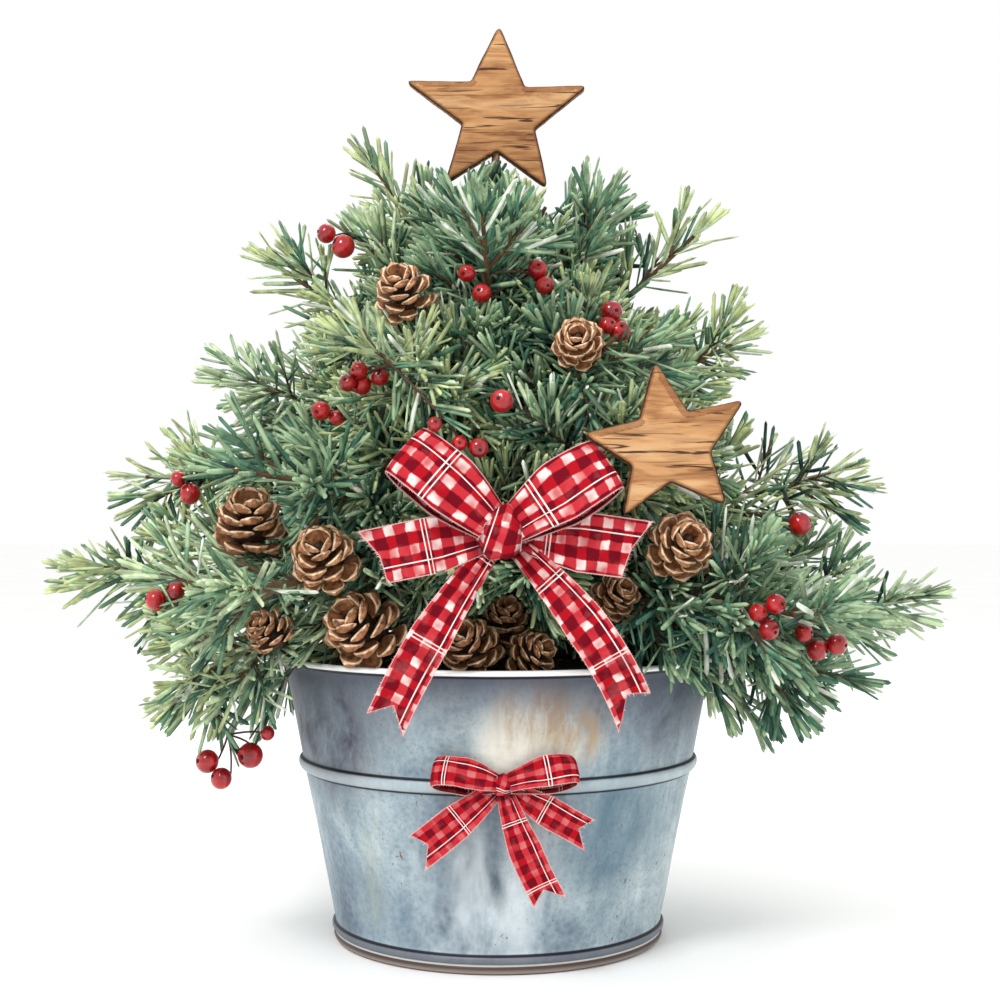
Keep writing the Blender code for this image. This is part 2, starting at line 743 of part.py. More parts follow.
def large_bow(finish):
    shapes = [knot(BOW_CENTRE, BOW_KNOT)]
    for degrees, length in BOW_LOOPS:
        shapes.append(loop_ribbon(BOW_CENTRE, degrees, length, BOW_RIBBON, BOW_DEPTH))
    for degrees, length in BOW_EARS:
        turn = math.radians(degrees)
        end = Vector((length * math.cos(turn), BOW_EAR_SET_BACK, length * math.sin(turn)))
        shapes.append(tail_ribbon(BOW_CENTRE, end, BOW_RIBBON, 0.003, 0.0))
    for x, z in BOW_TAILS:
        end = Vector((x, BOW_TAIL_SET_BACK, z))
        shapes.append(tail_ribbon(BOW_CENTRE, end, BOW_TAIL_WIDTH, 0.008, 0.012))
    return fused("bow_large", shapes, finish)


def small_bow(finish):
    stand_off = wall_radius(BAND_HEIGHT) + BAND_BULGE + GAP
    centre = Vector((0.003, -stand_off - SMALL_BOW_KNOT.y, BAND_HEIGHT + 0.004))
    shapes = [knot(centre, SMALL_BOW_KNOT)]
    for degrees, length in SMALL_LOOPS:
        shapes.append(loop_ribbon(centre, degrees, length, SMALL_RIBBON, SMALL_DEPTH))
    for x, z in SMALL_TAILS:
        end = Vector((x, SMALL_TAIL_SET_BACK, z))
        shapes.append(tail_ribbon(centre, end, SMALL_RIBBON, 0.004, 0.007))
    return fused("bow_small", shapes, finish)


def cone_shape(centre, radius, heading):
    """A plump pine cone whose scales stand out in a spiral chequer."""
    axis = heading.normalized()
    side = axis.orthogonal().normalized()
    up = axis.cross(side)
    length = radius * CONE_LENGTH
    vertices, rings = [], []
    for ring in range(CONE_RINGS + 1):
        share = ring / CONE_RINGS
        profile = math.sin(math.pi * (0.10 + 0.86 * share) ** 0.8)
        rings.append(list(range(len(vertices), len(vertices) + CONE_SIDES)))
        for k in range(CONE_SIDES):
            turn = 2 * math.pi * (k + ring / 2) / CONE_SIDES
            relief = 1 + CONE_RELIEF * (1 if (k + ring) % 2 else -1)
            reach = radius / (1 + CONE_RELIEF) * profile * relief
            offset = side * math.cos(turn) + up * math.sin(turn)
            vertices.append(centre + offset * reach + axis * length * (share - 0.5))
    faces = [rings[0], rings[-1]]
    for low, high in zip(rings, rings[1:]):
        faces += bridge(low, high)
    return vertices, faces


def lying_cone(name, settings, carriers, finish):
    """A cone lowered from above until it rests on one of its carriers."""
    (x, y), radius, heading = settings
    centre = Vector((x, y, BUCKET_HEIGHT + 2 * radius))
    heading = Vector(heading)
    while not touches(cone_shape(centre, radius + GAP, heading), carriers):
        centre.z -= GAP
    centre.z += GAP
    return smooth(mesh_object(name, cone_shape(centre, radius, heading), finish), 30)


def wired_cone(settings, anchor):
    """A cone and the wire that holds it to a stem."""
    centre, radius, heading = settings
    centre = Vector(centre)
    wire = limb([anchor, centre], [STALK_RADIUS, STALK_RADIUS * 1.5], 3)
    return [cone_shape(centre, radius, Vector(heading)), wire]


def berry_shapes(centre, count, anchor):
    """Berries round the end of a stalk that grows from the anchor."""
    along = (centre - anchor).normalized()
    side = along.orthogonal().normalized()
    shapes = [limb([anchor, centre], [STALK_RADIUS, STALK_RADIUS], 3)]
    spread = BERRY_RADIUS * (0.0, 0.80, 0.98)[count - 1]
    for number in range(count):
        turn = Matrix.Rotation(2 * math.pi * number / count + 0.6, 3, along)
        shell = bmesh.new()
        bmesh.ops.create_icosphere(shell, subdivisions=1, radius=BERRY_RADIUS)
        vertices = [centre + turn @ side * spread + v.co for v in shell.verts]
        shapes.append((vertices, [[v.index for v in f.verts] for f in shell.faces]))
        shell.free()
    return shapes


# ---------------------------------------------------------------- assembly


def clear_scene():
    for obj in list(bpy.data.objects):
        bpy.data.objects.remove(obj)


def all_sprays():
    carried = {
        BOW_SPRAY: BOW_CENTRE - FRONT * BOW_KNOT.y,
        STAR_SPRAY: SIDE_STAR_CENTRE - FRONT * STAR_THICKNESS / 2,
    }
    return [Spray(tier, n, carried) for tier in TIERS for n in range(TIERS[tier]["count"])]


def nearest_stem(centre, sprays):
    """The name of the spray whose stem passes nearest to a place, and where it does."""
    near = [
        ((point - centre).length, spray.name, point)
        for spray in sprays
        for point in spray.points[spray.toothed.start : spray.toothed.stop]
    ]
    return min(near, key=lambda item: item[0])[1:]


def dressing_by_spray(sprays):
    """The shapes of the berries and the wired cones, given to the sprays that hold them."""
    found = {spray.name: [] for spray in sprays}
    for centre, count in BERRIES:
        name, anchor = nearest_stem(Vector(centre), sprays)
        found[name] += berry_shapes(Vector(centre), count, anchor)
    for settings in WIRED_CONES:
        name, anchor = nearest_stem(Vector(settings[0]), sprays)
        found[name] += wired_cone(settings, anchor)
    return found


def main():
    clear_scene()
    zinc = material("galvanised_steel", (0.50, 0.57, 0.61), 0.42, 0.85)
    earth = material("potting_soil", (0.045, 0.030, 0.020), 0.95)
    bark = material("bark", (0.16, 0.095, 0.055), 0.85)
    needles = material("needles", (0.060, 0.170, 0.075), 0.55)
    wood = material("wood", (0.58, 0.36, 0.18), 0.60)
    cloth = material("ribbon", (0.55, 0.03, 0.035), 0.75)
    scale = material("cone_scales", (0.30, 0.155, 0.075), 0.70)

    pot = [bucket(zinc), soil(earth)]
    trunk = smooth(mesh_object("trunk", trunk_shape(), bark), 50)
    cutter = trunk_clearance()
    top_star = star("star_top", TOP_STAR_RADIUS, TOP_STAR_CENTRE, TOP_STAR_TURN, wood)
    boolean(top_star, "DIFFERENCE", cutter)
    side_star = star("star_side", SIDE_STAR_RADIUS, SIDE_STAR_CENTRE, SIDE_STAR_TURN, wood)
    dressing = [top_star, side_star, large_bow(cloth), small_bow(cloth)]

    sprays = all_sprays()
    limbs = [trunk]
    for spray in sprays:
        if spray.tier == BOUGH_TIER:
            limbs.append(bough("bough_" + spray.name, spray.bough_points(), bark, cutter))
    limbs = [Obstacle(shape_of(obj)) for obj in limbs]
    fixed = [Obstacle(shape_of(obj)) for obj in pot]
    for name, settings in LYING_CONES.items():
        cone = lying_cone(name, settings, fixed, scale)
        fixed.append(Obstacle(shape_of(cone)))
    fixed += [Obstacle(shape_of(obj)) for obj in dressing]

    fruit = dressing_by_spray(sprays)
    grown = []
    for spray in sprays:
        shapes = [spray.stem_shape(CLEARANCE)] + fruit[spray.name]
        grown.append([Obstacle(shape) for shape in shapes])
    for number, spray in enumerate(sprays):
        others = [part for i, parts in enumerate(grown) if i != number for part in parts]
        shapes = spray.shapes(limbs + fixed + others)
        grown[number] += [Obstacle(shape) for shape in shapes[1:]]
        cut = None if spray.tier == BOUGH_TIER else cutter
        fused("needles_" + spray.name, shapes + fruit[spray.name], needles, cut)


main()
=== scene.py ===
"""The looks of a table-top Christmas tree in a galvanised bucket: bark, fine twigs and
needles, wooden stars, ribbon bows, pine cones, berries and weathered zinc.

Frame: metres, +Z up, +X to the right and +Y away from the front of the tree. Azimuths
are counted from +X towards +Y, so 270 degrees is the front.
"""

import json
import math
import random

import bmesh
import bpy
import numpy as np
from mathutils import Matrix, Vector, noise
from mathutils.bvhtree import BVHTree

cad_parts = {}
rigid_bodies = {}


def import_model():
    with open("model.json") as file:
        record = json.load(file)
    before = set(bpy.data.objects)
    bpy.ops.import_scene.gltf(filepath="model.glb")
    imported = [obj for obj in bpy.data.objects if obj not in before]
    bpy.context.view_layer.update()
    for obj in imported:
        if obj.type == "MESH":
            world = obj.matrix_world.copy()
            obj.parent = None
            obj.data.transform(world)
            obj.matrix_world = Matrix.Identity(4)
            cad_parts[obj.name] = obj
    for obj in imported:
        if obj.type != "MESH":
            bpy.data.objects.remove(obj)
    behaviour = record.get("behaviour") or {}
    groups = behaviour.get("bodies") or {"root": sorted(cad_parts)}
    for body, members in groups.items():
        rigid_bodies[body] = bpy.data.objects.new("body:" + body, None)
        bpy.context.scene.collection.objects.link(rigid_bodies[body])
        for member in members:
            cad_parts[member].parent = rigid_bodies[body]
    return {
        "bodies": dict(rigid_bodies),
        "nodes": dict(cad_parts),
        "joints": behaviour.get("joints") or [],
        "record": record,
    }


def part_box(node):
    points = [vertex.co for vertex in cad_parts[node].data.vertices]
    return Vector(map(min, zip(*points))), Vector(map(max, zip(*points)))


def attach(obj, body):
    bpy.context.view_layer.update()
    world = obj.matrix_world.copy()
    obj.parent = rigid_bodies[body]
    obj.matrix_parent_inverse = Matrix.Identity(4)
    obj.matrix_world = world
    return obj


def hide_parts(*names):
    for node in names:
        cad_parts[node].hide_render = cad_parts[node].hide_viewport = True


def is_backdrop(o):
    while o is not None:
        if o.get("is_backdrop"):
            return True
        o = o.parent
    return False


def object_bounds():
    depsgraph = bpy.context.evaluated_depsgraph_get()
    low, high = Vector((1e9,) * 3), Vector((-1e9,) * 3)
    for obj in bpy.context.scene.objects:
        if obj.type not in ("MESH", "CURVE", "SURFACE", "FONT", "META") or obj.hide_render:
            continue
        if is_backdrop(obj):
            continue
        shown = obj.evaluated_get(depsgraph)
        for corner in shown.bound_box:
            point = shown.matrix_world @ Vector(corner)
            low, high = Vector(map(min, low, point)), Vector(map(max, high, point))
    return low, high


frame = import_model()
cad_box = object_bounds()

BODY = "root"
FRONT = Vector((0, -1, 0))
UP = Vector((0, 0, 1))
GOLDEN_ANGLE = math.radians(137.508)

# Camera: level with the foot of the crown, straight in front
IMAGE_SIZE = 1000
CAMERA_DISTANCE = 1.15
CAMERA_HEIGHT = 0.285
CAMERA_AIM = Vector((0.0014, 0, 0.301))
PICTURE_WIDTH = 0.70  # what the picture takes in at the tree's axis
SENSOR = 36.0
HORIZON_PIXEL = 523
AXIS_PIXEL = 498

# Bucket and soil
BUCKET_HEIGHT = 0.195
RIM_RADIUS = 0.149
FOOT_RADIUS = 0.110
WALL = 0.0015
BASE_THICKNESS = 0.004
HEM_BEAD = 0.0062
HEM_BULGE = 0.003
BAND_HEIGHT = 0.121
BAND_WIDTH = 0.009
BAND_BULGE = 0.0036
RIM_ROLL = 0.0019
# the dark lines are painted shade in the creases by the hem, the band and the rim, and at the foot
CREASES = (  # heights of the dark lines round the bucket
    0.0, HEM_BEAD * 2, BAND_HEIGHT - BAND_WIDTH / 2, BAND_HEIGHT + BAND_WIDTH / 2,
    BUCKET_HEIGHT - RIM_ROLL * 2.4,
)
INSIDE_HEIGHTS = (0.186, 0.170, 0.10, BASE_THICKNESS)  # points down the inner wall
WALL_STEP = 0.004
AXIS_HOLE = 0.0005
BUCKET_SEGMENTS = 192
DENT = 0.0006
SOIL_EDGE_HEIGHT = 0.185
SOIL_TOP_HEIGHT = 0.195
SOIL_CROWN_RADIUS = 0.032
SOIL_SHOULDER_RADIUS = 0.077
SOIL_RINGS = 46
SOIL_SEGMENTS = 120
CRUMBS = 1100

# Trunk and boughs
TRUNK_FOOT = SOIL_TOP_HEIGHT + 0.0003
TRUNK_TIP = 0.5655
TRUNK_RADIUS = 0.0115
TRUNK_TIP_RADIUS = 0.0024
TRUNK_RINGS = 150
ROOT_FLARE = 0.007
FLARE_HEIGHT = 0.016
TRUNK_SWAY = 0.004
BOUGH_RADIUS = 0.0055
BOUGH_END_RADIUS = 0.0032
BOUGH_SHARE = 0.40

# Growth of the sprays, the same rule as in the solids
CURVE_STEPS = 60
STAGGER = 0.009
STEM_DEPTH = 0.6
STEM_STEP = 0.025
TWIG_ANGLE = math.radians(43)
TWIG_BEND = 0.12
TWIG_FLATTEN = 0.75
TWIG_LENGTHS = (1.15, 0.50)
LAST_TWIG = 0.9
TWIG_JITTER = 0.35
TIP_REACH = 0.026
CARRYING_BARE = 0.80
GAP = 0.0003
# Azimuths are in degrees, and the tips are given by reach and height
TIER_COLUMNS = (
    "count", "first", "span", "foot", "arch", "bare", "twigs", "twig", "right", "left", "depth",
)
TIER_ROWS = {
    "skirt": (5, -28, 236, 0.207, 0.056, 0.140, 5, 0.062, (0.258, 0.170), (0.256, 0.170), 0.86),
    "low": (8, 3, 315, 0.232, 0.020, 0.0, 6, 0.070, (0.315, 0.215), (0.313, 0.240), 0.90),
    "middle": (6, 4, 280, 0.270, 0.016, 0.045, 7, 0.068, (0.277, 0.313), (0.286, 0.319), 0.92),
    "upper": (7, -12, 308, 0.318, 0.008, 0.045, 6, 0.062, (0.187, 0.418), (0.207, 0.387), 0.98),
    "high": (4, -2, 268, 0.372, -0.006, 0.035, 6, 0.054, (0.157, 0.504), (0.179, 0.482), 0.92),
    "crest": (3, 15, 145, 0.430, -0.012, 0.025, 5, 0.042, (0.096, 0.536), (0.109, 0.560), 0.90),
    "leader": (2, 225, 100, 0.445, -0.008, 0.022, 4, 0.034, (0.054, 0.524), (0.056, 0.524), 1.00),
    # Short dark growth over the soil, inside the reach of the skirt
    "heart": (0, 20, 360, 0.214, 0.020, 0.0, 6, 0.056, (0.165, 0.236), (0.165, 0.236), 1.00),
}
TIERS = {name: dict(zip(TIER_COLUMNS, row)) for name, row in TIER_ROWS.items()}
BOUGH_TIER = "low"
BOW_SPRAY = "low_7"
STAR_SPRAY = "middle_6"

# Shorter sprays between the others, near the trunk: how many in a tier, and their lift
INNER_SPRAYS = {"heart": 9, "low": 7, "middle": 7, "upper": 6, "high": 5, "crest": 4, "leader": 3}
INNER_SHRINK = 0.62
INNER_LIFTS = {"heart": 0.0, "crest": -0.016, "leader": -0.014}
INNER_LIFT = 0.012

# Finer growth than in the solids
FINE_RATE = 1.25  # further twigs along a stem, over those in the solids
FINE_SHARE = 0.88  # their length, over the others'
FINE_PART = 0.66  # they grow on this first part of a stem, so that its end stays open
FINE_ROLL = 1.1  # how far they are turned on from the others, in radians
FINE_TURN = 0.60  # how far they turn into the crown's surface
FINE_RISE = 0.16  # and how much they lift
FORK_LENGTH = 0.034  # a twig longer than this forks
FORK_SHARE = 0.58
LEAST_POINTS = 4  # a twig with fewer is left out
TWIG_STEP = 0.005
STEM_RADII = (0.0030, 0.0013)
INNER_BARE = 0.022  # bare length of a stem near the trunk
SKIRT_BARE = 0.06
BLUNT_BARE = 0.12  # share of a stem that is left off where it carries a bow or a star
# Kinds of shoot: first and last radius, bare length, and its needles' length over the longest
TWIG = ((0.0016, 0.0008), 0.002, 0.94)
FORK = ((0.0011, 0.0006), 0.001, 0.84)
TOP_SHOOT = ((0.0016, 0.0008), 0.002, 0.48)
HANGING_SHOOT = ((0.0016, 0.0008), 0.004, 0.94)
STALK_SHOOT = ((0.0011, 0.0006), 0.002, 0.80)

# Shoots apart from the sprays
TOP_SHOOTS = 9
TOP_SHOOT_HEIGHTS = (0.490, 0.534)
TOP_SHOOT_STAND_OFF = 0.004
HANGING_SHOOTS = (  # depth, and foot, bend and tip in pixels
    (-0.060, ((306, 648), (286, 676), (272, 706))),
    (-0.050, ((286, 650), (262, 674), (246, 702))),
    (-0.060, ((690, 650), (728, 676), (752, 716))),
    (-0.050, ((694, 646), (712, 676), (722, 702))),
)
DRESSED_STEM = 0.014  # a stalk or wire longer than this grows needles of its own

# Needles
NEEDLE_LENGTH = 0.0425
NEEDLE_WIDTH = 0.0034
NEEDLE_THICKNESS = 0.0016
NEEDLE_STEP = 0.0029
OUTER_STEP = 1.16  # times the step, on the outer sprays
NEEDLE_ANGLES = (math.radians(47), math.radians(20))  # near a shoot's foot and at its tip
COMB = 0.88  # how flat the needles lie in the crown's surface
TIP_PART = 0.024  # the last part of a shoot, where the needles close up and shorten
FOOT_PART = 0.018  # the first part, where they are short too
# One needle: a diamond in section, widest before its middle, with a short blunt end
NEEDLE_RINGS = ((0.0, 0.60), (0.45, 1.0), (0.93, 0.84))
NEEDLE_CORNERS = ((1, 0), (0, 1), (-1, 0), (0, -1))
NEEDLE_TONES = {
    "night": (24, 50, 44),
    "deep": (42, 78, 66),
    "green": (70, 112, 90),
    "leaf": (106, 140, 108),
    "soft": (146, 170, 134),
    "bright": (184, 202, 162),
    "straw": (178, 190, 138),
    "pale": (216, 228, 208),
}
TONES = list(NEEDLE_TONES)
# Every spray deals its needles from one of these hands of tones, darkest sprays first
HANDS = (
    ("night", "deep", "green", "leaf"),
    ("night", "green", "leaf", "soft"),
    ("night", "deep", "leaf", "bright"),
    ("deep", "green", "soft", "bright"),
    ("night", "green", "leaf", "bright"),
)
TIP_TONES = {  # a needle's tip is a tone lighter than the needle
    "night": "deep", "deep": "green", "green": "leaf", "leaf": "soft",
    "soft": "bright", "bright": "straw", "straw": "straw", "pale": "pale",
}
# the pale tone stands for painted highlights among the needles
PALE_SHARE = 0.05

# Where twigs and needles may not grow
TWIG_CLEARANCE = 0.0035
EYES = (Vector((0, -CAMERA_DISTANCE, CAMERA_HEIGHT)), Vector((0, CAMERA_DISTANCE, CAMERA_HEIGHT)))
SHOWN_DEPTH = 0.26  # what grows this far before a bow or a star is left out
SMALL_SHOWN_DEPTH = 0.16  # and this far before a cone or a berry
SKY = (  # openings between the sprays, in pixels: middle, half width and half height
    (550, 204, 13, 30), (446, 166, 14, 12), (704, 262, 20, 12), (652, 306, 34, 14),
    (744, 392, 26, 16), (262, 336, 46, 14), (212, 418, 34, 12), (352, 284, 16, 12),
    (790, 424, 26, 14),
)

# Stars
STAR_THICKNESS = 0.010
STAR_TIP_ROUND = 0.0070
STAR_WAIST_ROUND = 0.0016
STAR_CHAMFER = (0.0024, 0.0011)  # how far in and how deep the worn edge of the face goes
STAR_VOXEL = 0.0010
STAR_WORN = 0.0030  # width of the worn edge
STAR_LINE = (0.0040, 0.0009)  # the dark line inside the upper edges: how far in, and its width
TOP_STAR_CENTRE = Vector((-0.0006, 0.0, 0.5730))
SIDE_STAR_CENTRE = Vector((0.100, -0.175, 0.332))
# The hand-cut corners, tip and waist by turns, in millimetres from the star's middle
TOP_STAR_CORNERS = (
    (1.4, 61.8), (19.6, 17.4), (64.5, 18.4), (26.6, -12.2), (35.9, -54.6),
    (0.0, -28.2), (-36.6, -50.6), (-24.6, -8.4), (-65.4, 22.0), (-18.5, 21.2),
)
SIDE_STAR_CORNERS = (
    (-6.9, 49.8), (12.7, 19.1), (47.0, 26.4), (26.4, -4.9), (35.9, -37.4),
    (2.6, -22.9), (-26.6, -44.4), (-20.9, -13.3), (-50.6, 5.8), (-16.6, 14.0),
)

# Bows
CHECK = 0.0066  # side of one square of the ribbon's check
RIBBON_THICKNESS = 0.0006
BOW_CENTRE = Vector((0.003, -0.176, 0.279))
BOW_KNOT = Vector((0.0125, 0.009, 0.0165))
BOW_RIBBON = 0.040
SMALL_RIBBON = 0.0195
SMALL_KNOT = Vector((0.0060, 0.0056, 0.0066))
KNOT_SHADE = 0.34  # how far the shade round a knot reaches, over the ribbon's width
LOOP_BACK = 0.62  # how far a loop's back run bulges, over its front run
LOOP_CORNER = 0.08  # how much narrower a loop is round its end
THREAD_STEPS = (0.0011, 0.0009)  # between frayed threads, along an edge and along an end
THREAD_LENGTHS = ((0.0005, 0.0013), (0.001, 0.0026))

# Where the sprays end that carry the bow and the side star
CARRIED = {
    BOW_SPRAY: BOW_CENTRE - FRONT * BOW_KNOT.y,
    STAR_SPRAY: SIDE_STAR_CENTRE - FRONT * STAR_THICKNESS / 2,
}

# One cone scale: along from the cone's axis, half width, half thickness
SCALE_RINGS = (
    (0.00, 0.16, 0.08), (0.34, 0.28, 0.07), (0.60, 0.46, 0.09), (0.80, 0.55, 0.12),
    (0.93, 0.50, 0.15), (1.01, 0.36, 0.15), (1.05, 0.16, 0.09),
)
SCALE_SIDES = 12
SCALES = 30  # on a cone
# The core of a cone: place along its axis and radius, both over the cone's radius
CONE_CORE = ((-0.86, 0.20), (-0.6, 0.36), (-0.2, 0.38), (0.2, 0.30), (0.45, 0.18), (0.6, 0.06))

# The cones on the soil: heading, radius, and how each lies from the middle of its solid
LYING_CONES = {
    "cone_left": ((-0.5, -0.7, 0.45), 0.0268, (-0.004, -0.002, 0.005)),
    "cone_middle": ((-0.3, -0.7, 0.55), 0.0210, (0.0, -0.002, 0.002)),
    "cone_right": ((0.6, -0.5, 0.4), 0.0165, (0.0, -0.002, 0.001)),
    "cone_back": ((0.2, -0.45, 0.9), 0.0196, (-0.002, -0.003, 0.009)),
}
# The cones wired into the crown, the last four at its back: middle, radius, heading, openness
WIRED_CONES = (
    ((-0.060, -0.112, 0.432), 0.0200, (-0.25, -0.75, 0.65), 0.9),
    ((0.050, -0.136, 0.397), 0.0175, (-0.1, -0.95, 0.25), 1.0),
    ((-0.156, -0.116, 0.285), 0.0256, (0.1, -0.6, 0.80), 0.7),
    ((-0.106, -0.150, 0.265), 0.0225, (-0.2, -0.8, 0.5), 1.0),
    ((-0.143, -0.122, 0.217), 0.0168, (-0.6, -0.5, 0.6), 0.5),
    ((0.075, -0.120, 0.240), 0.0160, (0.4, -0.8, 0.4), 1.0),
    ((0.112, -0.150, 0.272), 0.0220, (0.25, -0.9, 0.3), 1.0),
    ((0.150, 0.070, 0.300), 0.0205, (0.7, 0.4, 0.7), 0.9),
    ((-0.060, 0.165, 0.300), 0.0215, (-0.2, 0.8, 0.6), 1.0),
    ((0.062, 0.150, 0.375), 0.0180, (0.3, 0.8, 0.6), 0.8),
    ((-0.130, 0.075, 0.385), 0.0180, (-0.8, 0.4, 0.6), 0.9),
)

# Berries: the depth of each cluster, and the place and radius of its berries in pixels
FRONT_BERRIES = (
    (-0.030, ((326, 233, 10), (343, 246, 12))),
    (-0.098, ((467, 273, 9), (482, 293, 10))),
    (-0.090, ((538, 269, 10), (545, 285, 9.5))),
    (-0.098, ((612, 311, 11), (608, 325, 9), (620, 331, 11))),
    (-0.122, ((359, 370, 9), (348, 383, 9), (362, 385, 10), (380, 377, 9))),
    (-0.118, ((321, 411, 10), (337, 418, 8))),
    (-0.162, ((502, 401, 12),)),
    (-0.178, ((435, 424, 7.5), (460, 443, 8), (479, 448, 10))),
    (-0.040, ((178, 479, 8), (190, 494, 11))),
    (-0.080, ((156, 600, 11), (176, 591, 10))),
    (-0.030, ((800, 524, 12),)),
    (-0.172, ((776, 604, 10.5), (758, 613, 9.5), (769, 630, 10.5))),
    (-0.128, ((804, 633, 9.5), (817, 650, 11), (837, 644, 11))),
    (-0.090, ((208, 761, 12), (222, 778, 11), (251, 755, 13), (268, 733, 7.5))),
)
HIDDEN_BERRIES = (
    (0.160, 0.110, 0.345), (0.060, 0.180, 0.290), (-0.020, 0.150, 0.400), (-0.150, 0.120, 0.330),
    (-0.190, 0.090, 0.250), (0.080, 0.110, 0.405), (-0.075, 0.090, 0.470), (0.200, 0.060, 0.240),
    (0.010, 0.215, 0.240),
)
HIDDEN_BERRY_RADIUS = 0.0075
FORK_REACH = 0.013  # from a cluster's middle to where its stalks meet
WIRE_RADIUS = 0.0011

# Weather on the zinc, with painted shade, painted shadows and a painted highlight among it:
# middle, reach, strength, colour, and the texture that tears its edge
ZINC_PATCHES = (
    # the first two are painted shade: the zinc darker at its left and right sides below the rim
    ((-0.115, -0.070, 0.155), (0.078, 0.10, 0.064), 1.00, (70, 72, 88), "cloud"),
    ((0.120, -0.070, 0.166), (0.066, 0.10, 0.048), 0.95, (84, 88, 104), "cloud"),
    ((0.078, -0.100, 0.088), (0.046, 0.09, 0.060), 0.75, (62, 100, 120), "cloud"),
    ((-0.092, -0.070, 0.036), (0.046, 0.09, 0.044), 0.65, (84, 110, 136), "cloud"),
    # painted highlight: a pale patch low in the middle
    ((-0.006, -0.120, 0.050), (0.054, 0.09, 0.066), 0.65, (214, 222, 226), "streak"),
    ((0.022, -0.140, 0.150), (0.046, 0.09, 0.034), 0.85, (230, 228, 214), "cloud"),
    ((0.034, -0.130, 0.166), (0.038, 0.09, 0.036), 0.90, (180, 154, 120), "dabs"),
    # the next two are painted shadows that the small bow's tails cast on the zinc
    ((-0.028, -0.120, 0.080), (0.026, 0.09, 0.036), 0.95, (74, 88, 100), "cloud"),
    ((0.008, -0.130, 0.078), (0.014, 0.09, 0.048), 0.90, (74, 88, 100), "cloud"),
    ((-0.083, -0.090, 0.058), (0.010, 0.09, 0.046), 0.30, (192, 194, 160), "dabs"),
)
# Lines round it: the height they lie about, where each ends and fades, strength and colour
ZINC_LINES = (
    (BAND_HEIGHT, 0.0028, 0.0040, 0.45, (200, 210, 214)),
    (0.0, 0.0121, 0.0127, 0.85, (104, 107, 116)),
    (0.0, 0.0058, 0.0064, 0.94, (78, 62, 54)),
    (0.0, 0.0020, 0.0042, 0.85, (160, 148, 140)),
    (HEM_BEAD, 0.0004, 0.0008, 0.92, (240, 240, 238)),
    # painted highlight: the rolled rim off-white
    (BUCKET_HEIGHT, 0.0032, 0.0037, 0.96, (252, 252, 250)),
    # painted shade: the dark lines in the creases
    *((height, 0.0005, 0.0011, 0.95, (34, 32, 38)) for height in CREASES),
)


# ---------------------------------------------------------------- materials


def rgb(colour):
    """A display colour of 0 to 255 a channel as the linear colour that shaders take."""
    shares = [value / 255 for value in colour]
    return (*(s / 12.92 if s <= 0.04045 else ((s + 0.055) / 1.055) ** 2.4 for s in shares), 1.0)


